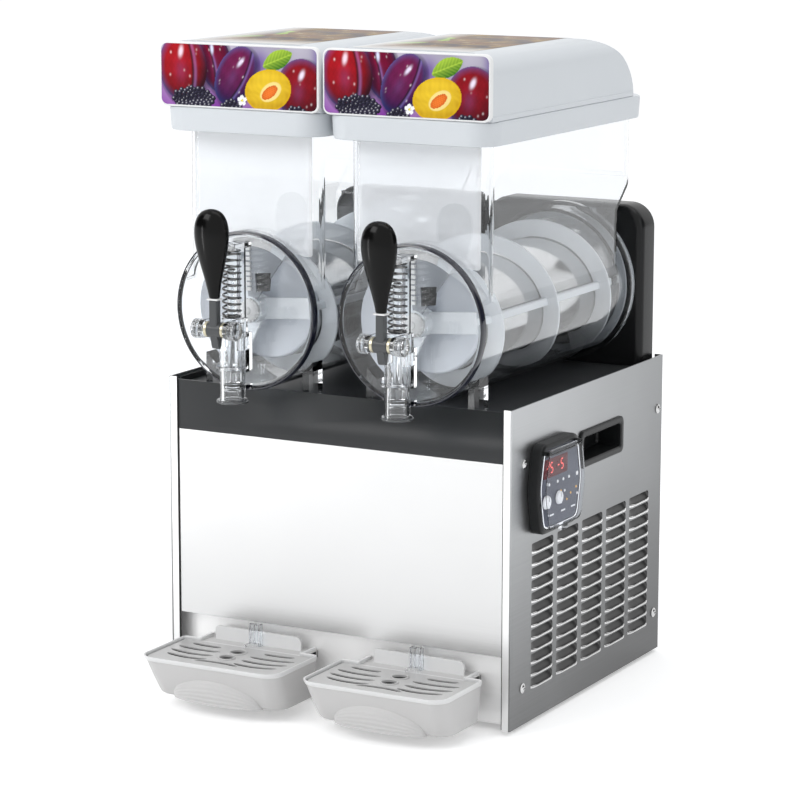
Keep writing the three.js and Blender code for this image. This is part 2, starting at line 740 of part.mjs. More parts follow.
function bowl() {
  const noseRear = barrelFront + noseThickness;
  const flangeFront = towerFace - rearFlangeDepth;
  const feet = [-1, 1].map((side) => {
    const x = side * bowlFoot.spread;
    return box(x - bowlFoot.width / 2, x + bowlFoot.width / 2, bowlFoot.y, bowlFoot.y + bowlFoot.depth,
      deckTop + gap, barrelZ - bowlFoot.rise);
  });
  const retainerRear = barrelFront + 1;
  const retainerFront = tapY - springRadius - 3;
  const tap = [
    rod('z', spoutRadius, spoutBottom, spoutTop, [0, tapY]),
    rod('z', spoutFlangeRadius, spoutBottom, spoutBottom + spoutFlange, [0, tapY]),
    rod('z', spoutFlangeRadius, crossFlangeZ, crossFlangeZ + spoutFlange, [0, tapY]),
    box(-9, 9, tapY, retainerRear, spoutBottom + 12, spoutTop),
    box(-9, 9, retainerFront, retainerRear, springTop + gap, springTop + gap + retainerThickness),
    box(-2, 2, tapY + collarRadius + 3, retainerRear, spoutTop - 1, springTop + 1),
  ];
  const earFront = pivotY - 9;
  const ears = [-1, 1].map((side) => {
    const inner = side * earInside;
    const outer = side * (earInside + earThickness);
    return box(Math.min(inner, outer), Math.max(inner, outer), earFront, tapY + 4, pivotZ - 9, pivotZ + 9);
  });
  const earRoots = [-1, 1].map((side) => {
    const outer = side * (earInside + earThickness);
    return box(Math.min(0, outer), Math.max(0, outer), tapY - 8, tapY + 8, pivotZ - 24, spoutTop - 2);
  });
  const outer = join(
    barrelRod(barrelRadius, barrelFront, towerFace),
    barrelRod(rearFlangeRadius, flangeFront, towerFace),
    tankVolume(0, tankTop),
    feet, tap, ears, earRoots,
  );
  return cut(
    outer,
    barrelRod(barrelRadius - bowlWall, noseRear, towerFace + 1),
    tankVolume(bowlWall, tankTop + 1),
    rod('z', spoutBore, spoutBottom - 1, spoutTop + 1, [0, tapY]),
    box(-portHalfWidth, portHalfWidth, tapY, noseRear + 1, portBottom, portBottom + portHeight),
    rod('x', pivotRadius + pivotClearance, -30, 30, [pivotY, pivotZ], pinFaces),
    box(-earInside, earInside, earFront - 1, tapY + 20, spoutTop, pivotZ + 10),
  );
}

function evaporator() {
  const rear = towerFace;
  const inner = evaporatorRadius - evaporatorWall;
  const hole = shaftRadius + 1.5;
  return turned([
    [hole, evaporatorFront],
    [evaporatorRadius - 4, evaporatorFront], [evaporatorRadius, evaporatorFront + 4],
    [evaporatorRadius, rear - evaporatorFlange],
    [evaporatorFlangeRadius, rear - evaporatorFlange],
    [evaporatorFlangeRadius, rear], [inner, rear], [inner, evaporatorFront + evaporatorWall],
    [hole, evaporatorFront + evaporatorWall], [hole, evaporatorFront],
  ], 'y').translate([0, 0, barrelZ]);
}

function bowlGasket() {
  const outer = barrelRadius - bowlWall - gap;
  return ring(outer, evaporatorFlangeRadius + gap, towerFace - 7, towerFace).translate([0, 0, barrelZ]);
}

// A helical blade: a straight strip bent round the axis as it advances along it.
function augerBlade() {
  const inner = evaporatorRadius + augerRunning;
  const steps = 48;
  const strip = new THREE.BoxGeometry(1, augerRadius - inner, augerBladeThickness, steps, 1, 1);
  const points = strip.attributes.position;
  for (let i = 0; i < points.count; i += 1) {
    const share = points.getX(i) + 0.5;
    const angle = augerRearAngle + share * (augerFrontAngle - augerRearAngle);
    const radius = (augerRadius + inner) / 2 + points.getY(i);
    const y = augerRightY - augerPitch * angle / 360 + points.getZ(i);
    points.setXYZ(i, radius * Math.cos(radians(angle)), y, radius * Math.sin(radians(angle)));
  }
  return solid(strip);
}

function sector(inner, outer, from, to) {
  const shape = new THREE.Shape();
  shape.absarc(0, 0, outer, radians(from), radians(to), false);
  shape.absarc(0, 0, inner, radians(to), radians(from), true);
  return shape;
}

const bladeEnd = (angle) => augerRightY - augerPitch * angle / 360;

function auger() {
  const inner = evaporatorRadius + augerRunning;
  const arm = augerArm;
  const plateFront = arm.front + 13;
  const plateRear = plateFront + arm.thickness;
  const rear = bladeEnd(augerRearAngle) + augerBladeThickness / 2;
  const bars = Array.from({ length: augerBars }, (_, index) => (
    box(inner, inner + 6, plateFront, rear, -augerBarWidth / 2, augerBarWidth / 2)
      .rotate([0, -index * 360 / augerBars - 4, 0])
  ));
  const spokes = Array.from({ length: augerBars }, (_, index) => (
    box(0, inner + 6, plateFront, plateRear, -11, 11).rotate([0, -index * 360 / augerBars - 4, 0])
  ));
  const shape = join(
    augerBlade(),
    bars,
    spokes,
    prism(sector(8, augerRadius, arm.from, arm.to), 'y', arm.front, arm.front + arm.thickness),
    prism(sector(augerRadius - 9, augerRadius, arm.from, arm.from + 14), 'y', arm.front,
      bladeEnd(augerFrontAngle) + 2),
    rod('y', augerHubRadius, arm.front, plateRear + 6, [0, 0]),
  );
  const window = box(10, 26, arm.front - 1, arm.front + arm.thickness + 0.5, 16, 34);
  const bore = rod('y', shaftRadius + shaftClearance, arm.front - 1, plateRear + 7, [0, 0], pinFaces);
  return cut(shape, window, bore).translate([0, 0, barrelZ]);
}

function driveShaft() {
  return barrelRod(shaftRadius, shaftFront, shaftRear, pinFaces);
}

function augerNut() {
  const rear = augerArm.front - gap;
  const body = turned([
    [0, nutFront], [nutRadius - 2, nutFront], [nutRadius, nutFront + 2], [nutRadius, rear], [0, rear],
  ], 'y', roundFaces);
  const hole = rod('y', shaftRadius + shaftClearance, shaftFront - gap, rear + 1, [0, 0], pinFaces);
  return cut(body, hole).translate([0, 0, barrelZ]);
}

function gearMotor() {
  const back = towerFront + towerWall + gap;
  const plate = motorPlate;
  const body = join(
    box(-plate.halfWidth, plate.halfWidth, back, back + plate.thickness,
      -plate.halfHeight, plate.halfHeight),
    box(-gearboxHalfWidth, gearboxHalfWidth, back, back + plate.thickness + gearboxDepth,
      -motorOffset - motorRadius + 4, gearboxHalfWidth),
    rod('y', motorRadius, back - motorLength, back + 1, [0, -motorOffset]),
  );
  return cut(body, rod('y', shaftRadius + shaftClearance, back - 1, back + 30, [0, 0], pinFaces))
    .translate([0, 0, barrelZ]);
}

function rearTower() {
  const bottom = deckTop + gap;
  const edge = towerEdge;
  const outline = roundedRectangle(-towerHalfWidth + edge, towerHalfWidth - edge, bottom + edge,
    towerTop - edge, [0, 0, towerCorner - edge, towerCorner - edge]);
  const bevel = { bevelEnabled: true, bevelSize: edge, bevelThickness: edge, bevelSegments: 1 };
  const depth = towerRear - towerFront;
  // the bevelled block is twice as deep as the tower, then cut flat at the rear and the bottom
  const shape = { ...bevel, curveSegments: 5 };
  const block = prism(outline, 'y', towerFront + edge, towerFront + 2 * depth, shape);
  const trimmed = block.intersect(box(-towerHalfWidth, towerHalfWidth, 0, towerRear, bottom, towerTop));
  const skirt = box(-towerHalfWidth + edge, towerHalfWidth - edge, towerFront, towerRear,
    bottom, bottom + 2 * edge);
  const wall = towerWall;
  const hollow = (inset) => roundedRectangle(-towerHalfWidth + inset, towerHalfWidth - inset, bottom - 1,
    towerTop - inset, [0, 0, towerCorner - inset, towerCorner - inset]);
  return cut(
    join(trimmed, skirt),
    prism(hollow(wall), 'y', towerFront + edge, towerRear - wall),
    prism(hollow(wall + edge), 'y', towerFront + wall, towerFront + edge + 1),
    barrelRod(evaporatorRadius - evaporatorWall, towerFront - 1, towerFront + wall + 1),
  );
}

// ---------------------------------------------------------------- lid, hood and picture panel

function lid() {
  const plan = (inset, corner) => roundedRectangle(-lidHalfWidth + inset, lidHalfWidth - inset,
    lidFront + inset, lidRear - inset, corner);
  const seat = (reach) => roundedRectangle(-tankHalfWidth - reach, tankHalfWidth + reach, tankFront - reach,
    tankRear + reach, tankCorner + reach);
  const seatOut = Math.min(lidSeatWidth / 2, lidRear - lidWall - tankRear + 1);
  const shell = cut(
    prism(plan(0, lidCorner), 'z', lidBottom, lidTop),
    prism(plan(lidWall, lidCorner - lidWall), 'z', lidBottom - 1, lidTop - lidWall),
  );
  const ledge = cut(
    prism(seat(seatOut), 'z', tankTop + gap, lidTop - 1),
    prism(seat(seatOut - lidSeatWidth), 'z', tankTop, lidTop - lidWall),
  );
  return join(shell, ledge);
}

// The hood is an arched tunnel whose rear end curves down to the lid.
function hoodVolume(inset) {
  const bottom = lidTop + gap - (inset > 0 ? 1 : 0);
  const top = hoodTop - inset;
  const front = roundedRectangle(-hoodHalfWidth + inset, hoodHalfWidth - inset, bottom, top,
    [0, 0, hoodShoulder - inset, hoodShoulder - inset]);
  const side = new THREE.Shape();
  side.moveTo(hoodFront + inset, bottom);
  side.lineTo(hoodRear - inset, bottom);
  side.absellipse(hoodCurveStart, bottom, hoodRear - inset - hoodCurveStart, top - bottom, 0, Math.PI / 2);
  side.lineTo(hoodFront + inset, top);
  return prism(front, 'y', hoodFront + inset, hoodRear - inset)
    .intersect(prism(side, 'x', -lidHalfWidth, lidHalfWidth, { curveSegments: 8 }));
}

function hood() {
  return cut(hoodVolume(0), hoodVolume(hoodWall));
}

function picturePanel() {
  const rear = hoodFront - gap;
  const outline = roundedRectangle(-lidHalfWidth, lidHalfWidth, lidTop + gap, pictureTop, pictureCorner);
  return prism(outline, 'y', rear - pictureThickness, rear);
}

// ---------------------------------------------------------------- tap

function tapPlunger() {
  const middle = [0, tapY];
  return join(
    rod('z', spoutBore - gap, pistonBottom, pistonBottom + pistonHeight, middle),
    rod('z', plungerRod, pistonBottom + 2, plungerTop, middle, pinFaces),
    rod('z', collarRadius, collarBottom, collarBottom + collarHeight, middle),
  );
}

function tapSpring() {
  const bottom = collarBottom + collarHeight + gap + springWire;
  const top = springTop - springWire;
  class Coil extends THREE.Curve {
    getPoint(share, target = new THREE.Vector3()) {
      const angle = share * springCoils * 2 * Math.PI;
      return target.set(springRadius * Math.cos(angle), tapY + springRadius * Math.sin(angle),
        bottom + share * (top - bottom));
    }
  }
  const section = new THREE.Shape();
  section.absarc(0, 0, springWire, 0, 2 * Math.PI);
  const wire = new THREE.ExtrudeGeometry(section, {
    extrudePath: new Coil(), steps: springCoils * 8, curveSegments: 2,
  });
  return solid(wire);
}

// The handle turns on the pin; its fork reaches back under the plunger's collar and lifts it.
function tapHandle() {
  const grip = new THREE.LatheGeometry([
    [0, gripTop], [gripWidest * 0.55, gripTop - 4], [gripWidest * 0.92, gripTop - 16],
    [gripWidest, gripTop - 30], [gripWidest * 0.88, gripTop - 48], [gripWidest * 0.58, gripTop - 68],
    [gripWidest * 0.42, gripBottom],
    [0, gripBottom],
  ].map(([r, z]) => new THREE.Vector2(r, z)), roundFaces);
  grip.rotateX(Math.PI / 2).scale(1, gripFlatness, 1).translate(0, pivotY - 4, 0);
  const { radius, halfWidth } = handleHub;
  const forkTop = collarBottom - gap;
  const tines = [-1, 1].map((side) => {
    const inner = side * forkInside;
    const outer = side * halfWidth;
    return box(Math.min(inner, outer), Math.max(inner, outer), pivotY, tapY + 2,
      forkTop - forkThickness, forkTop);
  });
  const shape = join(
    solid(grip),
    box(-6.5, 6.5, pivotY - 10, pivotY + 2, pivotZ, gripBottom + 3),
    rod('x', radius, -halfWidth, halfWidth, [pivotY, pivotZ]),
    prism(polygon([
      [pivotY - 7, pivotZ], [pivotY - 2, handleTail], [pivotY + 2, handleTail], [pivotY + 6, pivotZ],
    ]), 'x', -4, 4),
    tines,
  );
  return cut(shape, rod('x', pivotRadius + pivotClearance, -10, 10, [pivotY, pivotZ], pinFaces));
}

function tapPin() {
  const middle = [pivotY, pivotZ];
  const capInner = earInside + earThickness + gap;
  const parts = [rod('x', pivotRadius, -capInner - 1, capInner + 1, middle, pinFaces)];
  [-1, 1].forEach((side) => {
    const span = (a, b) => (side > 0 ? [a, b] : [-b, -a]);
    parts.push(rod('x', capRadius, ...span(capInner, capInner + capWidth), middle, 12));
    parts.push(rod('x', washerRadius, ...span(handleHub.halfWidth + gap, earInside - gap), middle, 12));
  });
  return join(parts);
}

// ---------------------------------------------------------------- drip tray

// The tray's plan, drawn inwards by an inset, with its front corners rounder than its rear ones.
function trayPlan(inset) {
  const front = trayCorner - inset;
  const rear = Math.max(8 - inset, 1);
  return roundedRectangle(-trayHalfWidth + inset, trayHalfWidth - inset, trayFront + inset, trayRear - inset,
    [front, front, rear, rear]);
}

// A prism whose sides and front lean in towards the bottom; its rear stays upright.
function drafted(outline, bottom, top) {
  const shape = { depth: top - bottom, bevelEnabled: false, curveSegments: 4 };
  const geometry = new THREE.ExtrudeGeometry(outline, shape);
  const points = geometry.attributes.position;
  for (let i = 0; i < points.count; i += 1) {
    const fall = 1 - points.getZ(i) / (top - bottom);
    const shareX = 1 - fall * traySideDraft / trayHalfWidth;
    const shareY = 1 - fall * trayFrontDraft / (trayRear - trayFront);
    points.setX(i, points.getX(i) * shareX);
    points.setY(i, trayRear + (points.getY(i) - trayRear) * shareY);
  }
  return solid(geometry.translate(0, 0, bottom));
}

const gridBottom = trayTop - gridThickness;
const notch = indicator.halfWidth + 1; // half-width of the way out for the grid's indicator

function dripTray() {
  const { halfWidth, height, depth, setBack } = trayGrip;
  const grip = new THREE.SphereGeometry(1, 16, 8).scale(halfWidth, depth, height);
  grip.translate(0, trayFront + trayFrontDraft - setBack, trayBottom);
  const outer = join(
    drafted(trayPlan(0), trayBottom, trayTop),
    solid(grip).intersect(box(-halfWidth, halfWidth, trayFront - depth, trayRear, trayBottom - 4, trayTop)),
  );
  const tongue = [
    box(-tongueHalfWidth, tongueHalfWidth, trayRear - trayWall, tongueRear,
      tongueTop - tongueThickness, tongueTop),
    box(-upstandHalfWidth, upstandHalfWidth, 2, 5, tongueTop - 1, upstandTop),
  ];
  return join(
    cut(
      outer,
      drafted(trayPlan(trayWall + trayLedge), trayBottom + trayWall, trayTop + 1),
      prism(trayPlan(trayWall), 'z', gridBottom - gap, trayTop + 1),
      box(-notch, notch, trayRear - 2 * trayWall, trayRear + 1, tongueTop, trayTop + 1),
    ),
    tongue,
  );
}

function trayGrid() {
  const reach = trayWall + gap;
  const plate = prism(trayPlan(reach), 'z', gridBottom, trayTop);
  const cuts = [-60, -38].map((y) => rod('z', 7, gridBottom - 1, trayTop + 1, [0, y]));
  const front = trayFront + 16;
  const pitch = (trayRear - 14 - front) / gridSlots;
  for (let row = 0; row < gridSlots; row += 1) {
    const y = front + pitch * (row + 0.5);
    [-1, 1].forEach((side) => {
      const inner = side * 14;
      const outer = side * (trayHalfWidth - 14);
      cuts.push(box(Math.min(inner, outer), Math.max(inner, outer),
        y - gridSlotWidth / 2, y + gridSlotWidth / 2, gridBottom - 1, trayTop + 1));
    });
  }
  const { halfWidth, front: indicatorFront, rear: indicatorRear, top } = indicator;
  const post = box(-halfWidth, halfWidth, indicatorFront, indicatorRear, tongueTop + gap, top);
  const stem = box(-halfWidth, halfWidth, trayRear - reach - 2, indicatorRear, tongueTop + gap, trayTop);
  return join(cut(plate, cuts), stem, post);
}

// ---------------------------------------------------------------- assembly

function cabinetPieces() {
  const footY = [footInset, cabinetDepth - footInset];
  const footX = half - footInset;
  return [
    piece('base_pan', basePan(), satinSteel),
    piece('foot_front_left', foot(-footX, footY[0]), softRubber),
    piece('foot_front_right', foot(footX, footY[0]), softRubber),
    piece('foot_rear_left', foot(-footX, footY[1]), softRubber),
    piece('foot_rear_right', foot(footX, footY[1]), softRubber),
    piece('side_panel_left', sidePanel(-1, false), satinSteel),
    piece('side_panel_right', sidePanel(1, true), satinSteel),
    piece('front_panel', frontPanel(), brightSteel),
    piece('front_kick_panel', kickPanel(), satinSteel),
    piece('rear_panel', rearPanel(), satinSteel),
    piece('top_deck', topDeck(), darkPlastic),
    piece('grip_pocket_left', gripPocket(-1), darkPlastic),
    piece('grip_pocket_right', gripPocket(1), darkPlastic),
    piece('control_housing', controlHousing(), darkPlastic),
    piece('control_face', controlFace(), slateBlue),
    piece('control_cover', controlCover(), clearPlastic),
    piece('dial_front', dial(dialPlaces[0]), dialWhite),
    piece('dial_rear', dial(dialPlaces[1]), dialWhite),
    piece('compressor', compressor(), enamelBlack),
    piece('condenser', condenser(), copperFins),
    piece('fan_shroud', fanShroud(), enamelBlack),
    piece('fan_blade', fanBlade(), castGrey),
    piece('fan_motor', fanMotor(), castGrey),
    piece('filter_drier', filterDrier(), brassWasher),
    piece('electrical_box', electricalBox(), paleGrey),
    piece('cable_gland', cableGland(), softRubber),
  ];
}

function bowlUnit(side, suffix) {
  const unitGroup = new THREE.Group();
  const parts = [
    ['bowl', bowl(), clearPlastic],
    ['lid', lid(), paleGrey],
    ['hood', hood(), paleGrey],
    ['picture_panel', picturePanel(), pictureRed],
    ['evaporator', evaporator(), mirrorSteel],
    ['auger', auger(), augerWhite],
    ['drive_shaft', driveShaft(), brightSteel],
    ['auger_nut', augerNut(), augerWhite],
    ['bowl_gasket', bowlGasket(), clearRubber],
    ['rear_tower', rearTower(), darkPlastic],
    ['gear_motor', gearMotor(), castGrey],
    ['tap_plunger', tapPlunger(), clearPlastic],
    ['tap_spring', tapSpring(), brightSteel],
    ['tap_handle', tapHandle(), glossBlack],
    ['tap_pin', tapPin(), greyPlastic],
    ['drip_tray', dripTray(), trayGrey],
    ['tray_grid', trayGrid(), trayGrey],
  ];
  parts.forEach(([name, shape, material]) => unitGroup.add(piece(`${name}_${suffix}`, shape, material)));
  unitGroup.position.x = side * bowlPitch / 2;
  return unitGroup;
}

const machine = new THREE.Group();
const assembly = new THREE.Group();
assembly.add(...cabinetPieces(), bowlUnit(-1, 'left'), bowlUnit(1, 'right'));
machine.add(assembly);

// The origin is the middle of the footprint, on the surface that the feet stand on.
const extent = new THREE.Box3().setFromObject(assembly);
const footprint = extent.getCenter(new THREE.Vector3());
assembly.position.set(-footprint.x, -footprint.y, -extent.min.z);
machine.updateMatrixWorld(true);

export default machine;
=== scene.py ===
"""Frozen drink machine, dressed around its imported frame.

Shapes are drawn in millimetres in the maker's own frame: x = 0 is the middle of the cabinet, y = 0 its
front face and z = 0 the bottom edge of its side panels. Pieces of a bowl unit are drawn about that
unit's own middle plane. publish() moves each finished piece to its place in the frame, in metres.
"""

import math

import bmesh
import bpy
import numpy as np
from mathutils import Matrix, Vector

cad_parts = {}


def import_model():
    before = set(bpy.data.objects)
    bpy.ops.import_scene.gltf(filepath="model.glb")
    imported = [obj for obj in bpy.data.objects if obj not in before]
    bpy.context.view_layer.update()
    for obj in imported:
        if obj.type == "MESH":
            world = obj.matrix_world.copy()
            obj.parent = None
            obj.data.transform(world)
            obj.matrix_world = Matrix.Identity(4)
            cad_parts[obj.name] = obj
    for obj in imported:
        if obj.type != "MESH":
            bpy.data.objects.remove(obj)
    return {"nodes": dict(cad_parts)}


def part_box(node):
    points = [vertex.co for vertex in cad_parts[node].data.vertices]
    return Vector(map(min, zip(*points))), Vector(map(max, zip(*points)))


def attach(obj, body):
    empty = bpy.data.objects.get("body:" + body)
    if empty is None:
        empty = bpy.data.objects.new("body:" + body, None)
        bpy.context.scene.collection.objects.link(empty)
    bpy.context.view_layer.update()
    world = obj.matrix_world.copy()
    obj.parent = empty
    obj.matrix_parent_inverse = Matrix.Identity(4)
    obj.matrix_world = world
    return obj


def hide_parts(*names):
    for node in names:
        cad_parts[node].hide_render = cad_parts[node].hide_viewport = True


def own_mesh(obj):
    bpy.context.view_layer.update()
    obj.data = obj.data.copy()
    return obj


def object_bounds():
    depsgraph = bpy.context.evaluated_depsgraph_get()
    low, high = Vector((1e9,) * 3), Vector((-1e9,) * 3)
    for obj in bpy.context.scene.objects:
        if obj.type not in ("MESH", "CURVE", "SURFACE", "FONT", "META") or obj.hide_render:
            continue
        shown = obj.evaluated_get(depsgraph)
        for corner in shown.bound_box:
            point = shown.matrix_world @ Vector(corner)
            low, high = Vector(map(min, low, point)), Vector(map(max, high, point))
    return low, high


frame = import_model()
CAD_LOW, CAD_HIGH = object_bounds()

# ------------------------------------------------------------------ places taken from the frame

MM = 0.001
PANEL_LOW, PANEL_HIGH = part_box("side_panel_right")
LEFT_PANEL_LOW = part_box("side_panel_left")[0]
ORIGIN = Vector(((PANEL_HIGH.x + LEFT_PANEL_LOW.x) / 2, PANEL_LOW.y, PANEL_LOW.z))
TO_FRAME = Matrix.Translation(ORIGIN) @ Matrix.Scale(MM, 4)
FROM_FRAME = TO_FRAME.inverted()
SIDES = ("left", "right")


def span(node):
    """(lowest, highest) corner of a CAD node in the maker's frame, in millimetres."""
    low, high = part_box(node)
    return FROM_FRAME @ low, FROM_FRAME @ high


UNIT_X = {side: sum(corner.x for corner in span("bowl_" + side)) / 2 for side in SIDES}
HALF = (PANEL_HIGH.x - LEFT_PANEL_LOW.x) / MM / 2
DEPTH = (PANEL_HIGH.y - PANEL_LOW.y) / MM
HEIGHT = (PANEL_HIGH.z - PANEL_LOW.z) / MM
SHAFT_LOW, SHAFT_HIGH = span("drive_shaft_right")
BARREL_Z = (SHAFT_LOW.z + SHAFT_HIGH.z) / 2

# ------------------------------------------------------------------ sizes shared by several pieces

GAP = 0.3
SHEET = 1.5
FLANGE = 9
BARREL_RADIUS = 82
BARREL_FRONT = -20
BOWL_WALL = 3
TOWER_FACE = 329.7
UNIT_FOOT = 320.3
TANK = {"half": 78, "front": -3, "rear": 340, "waist": 301, "top": 600, "low": 494, "high": 528}
TAP_Y = -44
PIVOT = (-74, 397)
LID = {"half": 93, "front": -30, "rear": 345, "bottom": 590, "top": 614, "corner": 28, "wall": 3}
HOOD = {"half": 91, "front": -22, "rear": 310, "top": 680.8, "curve": 190, "shoulder": 24, "wall": 2.5}
TRAY = {"half": 82, "front": -104, "rear": -12, "top": 55, "bottom": 9}
EVAPORATOR_RADIUS = 56
AUGER_RADIUS = 75
CONTROL = {"y": 87, "bottom": 194, "height": 93, "width": 104, "taper": 9, "proud": 12}
DIAL_Z = 228
GRIP = {"y": 209.5, "z": 260.5, "width": 92, "height": 25}

# ------------------------------------------------------------------ meshes


def in_scene(name, data):
    thing = bpy.data.objects.new(name, data)
    bpy.context.scene.collection.objects.link(thing)
    return thing


def tidied(name, build, merge=1e-3):
    """A mesh object from a bmesh that build fills, with doubles merged and faces turned outwards."""
    shape = bmesh.new()
    build(shape)
    bmesh.ops.remove_doubles(shape, verts=shape.verts, dist=merge)
    bmesh.ops.recalc_face_normals(shape, faces=shape.faces)
    mesh = bpy.data.meshes.new(name)
    shape.to_mesh(mesh)
    shape.free()
    return in_scene(name, mesh)


def grid_faces(columns, rows):
    """The four-sided faces of a sheet of points that is laid out row by row."""
    starts = [row * columns + column for row in range(rows - 1) for column in range(columns - 1)]
    return [(i, i + 1, i + columns + 1, i + columns) for i in starts]


def lift(axis, u, v, w):
    """A point drawn as (u, v) in the plane across an axis, at distance w along it."""
    return {"x": (w, u, v), "y": (u, w, v), "z": (u, v, w)}[axis]


def loft(rings, capped=True, looped=True):
    """A skin through rings of points that all have the same count."""
    count = len(rings[0])

    def build(shape):
        rows = [[shape.verts.new(point) for point in ring] for ring in rings]
        last = count if looped else count - 1
        for low, high in zip(rows, rows[1:]):
            for i in range(last):
                j = (i + 1) % count
                shape.faces.new((low[i], low[j], high[j], high[i]))
        if capped:
            shape.faces.new(rows[0])
            shape.faces.new(rows[-1])

    return tidied("loft", build)


def rounded(u0, u1, v0, v1, radii, steps=8):
    """A rectangle with round corners: radii run low-left, low-right, top-right, top-left."""
    if not isinstance(radii, (list, tuple)):
        radii = (radii,) * 4
    corners = [(u0, v0, 1, 1, 180), (u1, v0, -1, 1, 270), (u1, v1, -1, -1, 0), (u0, v1, 1, -1, 90)]
    points = []
    for (u, v, inward_u, inward_v, start), radius in zip(corners, radii):
        for k in range(steps + 1):
            angle = math.radians(start + 90 * k / steps)
            radius = max(radius, 0.01)
            points.append((u + inward_u * radius + radius * math.cos(angle),
                           v + inward_v * radius + radius * math.sin(angle)))
    return points


def circle(radius, centre=(0, 0), segments=64):
    turns = [2 * math.pi * k / segments for k in range(segments)]
    return [(centre[0] + radius * math.cos(a), centre[1] + radius * math.sin(a)) for a in turns]


def skin(axis, rows, capped=True):
    """A skin through outlines that lie across an axis. Each row is a distance along it and an outline."""
    return loft([[lift(axis, u, v, w) for u, v in outline] for w, outline in rows], capped)


def prism(outline, axis, start, end):
    return skin(axis, [(start, outline), (end, outline)])


def block(x0, x1, y0, y1, z0, z1):
    return prism([(x0, y0), (x1, y0), (x1, y1), (x0, y1)], "z", z0, z1)


def rod(axis, radius, start, end, centre, segments=64):
    return prism(circle(radius, centre, segments), axis, start, end)


def turned(profile, axis, centre=(0, 0), segments=96):
    """A profile of (radius, height) points turned about an axis; it starts and ends on the axis or closes."""
    rings = [[lift(axis, u, v, h) for u, v in circle(max(r, 1e-6), centre, segments)] for r, h in profile]
    return loft(rings, capped=False)


def fillet(cx, cy, radius, start, end, steps=6):
    angles = [math.radians(start + (end - start) * k / steps) for k in range(steps + 1)]
    return [(cx + radius * math.cos(a), cy + radius * math.sin(a)) for a in angles]


def moved(thing, x=0, y=0, z=0):
    thing.data.transform(Matrix.Translation((x, y, z)))
    return thing


def spun(thing, axis, degrees, centre=(0, 0, 0)):
    there = Matrix.Translation(centre)
    thing.data.transform(there @ Matrix.Rotation(math.radians(degrees), 4, axis) @ there.inverted())
    return thing


def mirrored(thing):
    """The mirror image across x = 0, with its faces turned back outwards."""
    thing.data.transform(Matrix.Scale(-1, 4, (1, 0, 0)))
    thing.data.flip_normals()
    return thing


def handed(thing, side):
    """A piece drawn for the right, mirrored where the side is the left one."""
    return mirrored(thing) if side in ("left", -1) else thing


def settled(thing):
    """Applies every modifier on a piece."""
    graph = bpy.context.evaluated_depsgraph_get()
    mesh = bpy.data.meshes.new_from_object(thing.evaluated_get(graph))
    thing.modifiers.clear()
    thing.data = mesh
    return thing


def combined(base, tools, operation):
    for tool in tools:
        step = base.modifiers.new("Combine", "BOOLEAN")
        step.operation = operation
        step.solver = "MANIFOLD"
        step.object = tool
    settled(base)
    for tool in tools:
        bpy.data.objects.remove(tool)
    return base


def fused(*things):
    return combined(things[0], things[1:], "UNION")


def carved(base, *tools):
    return combined(base, tools, "DIFFERENCE")


def shared(base, *tools):
    return combined(base, tools, "INTERSECT")


def gathered(*things):
    """Several shapes in one mesh, not joined to each other."""
    shape = bmesh.new()
    for thing in things:
        shape.from_mesh(thing.data)
        if thing is not things[0]:
            bpy.data.objects.remove(thing)
    shape.to_mesh(things[0].data)
    shape.free()
    return things[0]


def softened(thing, width, segments=3, angle=32):
    """Rounds the sharp edges of a piece."""
    if width > 0:
        bevel = thing.modifiers.new("Edge", "BEVEL")
        bevel.width = width
        bevel.segments = segments
        bevel.limit_method = "ANGLE"
        bevel.angle_limit = math.radians(angle)
        bevel.use_clamp_overlap = True
    return settled(thing)


def soft_block(width, segments, *box):
    """A block whose edges are rounded."""
    return softened(block(*box), width, segments)


def shaded(thing, angle):
    """Smooth shading that keeps real edges crisp and flat faces flat."""
    mesh = thing.data
    mesh.polygons.foreach_set("use_smooth", [True] * len(mesh.polygons))
    mesh.set_sharp_from_angle(angle=math.radians(angle))
    normals = thing.modifiers.new("Normals", "WEIGHTED_NORMAL")
    normals.keep_sharp = True
    return settled(thing)


def refined(node):
    """A CAD node's own shape as a clean mesh in the maker's frame, for rounding its edges."""
    source = frame["nodes"][node].data

    def build(shape):
        shape.from_mesh(source)
        shape.transform(FROM_FRAME)
        bmesh.ops.remove_doubles(shape, verts=shape.verts, dist=1e-3)
        bmesh.ops.dissolve_limit(shape, angle_limit=math.radians(1), verts=shape.verts, edges=shape.edges)

    return tidied(node, build)


def publish(thing, name, finish, body, replaces=(), slot=None, x=0, smooth=35):
    """Names a finished piece, moves it to its place in the frame, finishes it and ties it to its body."""
    moved(thing, x).data.transform(TO_FRAME)
    thing.name = thing.data.name = name
    materials = thing.data.materials
    if not materials or not all(materials):
        materials.clear()
        materials.append(MATERIALS[finish])
        thing.data.polygons.foreach_set("material_index", [0] * len(thing.data.polygons))
    shaded(thing, smooth)
    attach(thing, body)
    if replaces:
        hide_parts(*replaces)
    slot or finish
    return thing


def publish_pair(thing, name, finish, body, replaces=(), slot=None, smooth=35):
    """The same piece for both bowl units. body and replaces are written without their side."""
    pair = {}
    for side in SIDES:
        rides = body if body == "cabinet" else f"{body}_{side}"
        stands_for = [f"{node}_{side}" for node in replaces]
        copy = in_scene(thing.name, thing.data.copy())
        pair[side] = publish(copy, f"{name}_{side}", finish, rides, stands_for, slot, UNIT_X[side], smooth)
    bpy.data.objects.remove(thing)
    return pair


# ------------------------------------------------------------------ node trees


def spaced(values):
    """The same values, with a space for each underscore in their labels."""
    return {label.replace("_", " "): value for label, value in values.items()}


def feed(tree, socket, value):
    """Links a socket to the one given, or sets it to the value given."""
    if isinstance(value, bpy.types.NodeSocket):
        tree.links.new(value, socket)
    else:
        socket.default_value = value


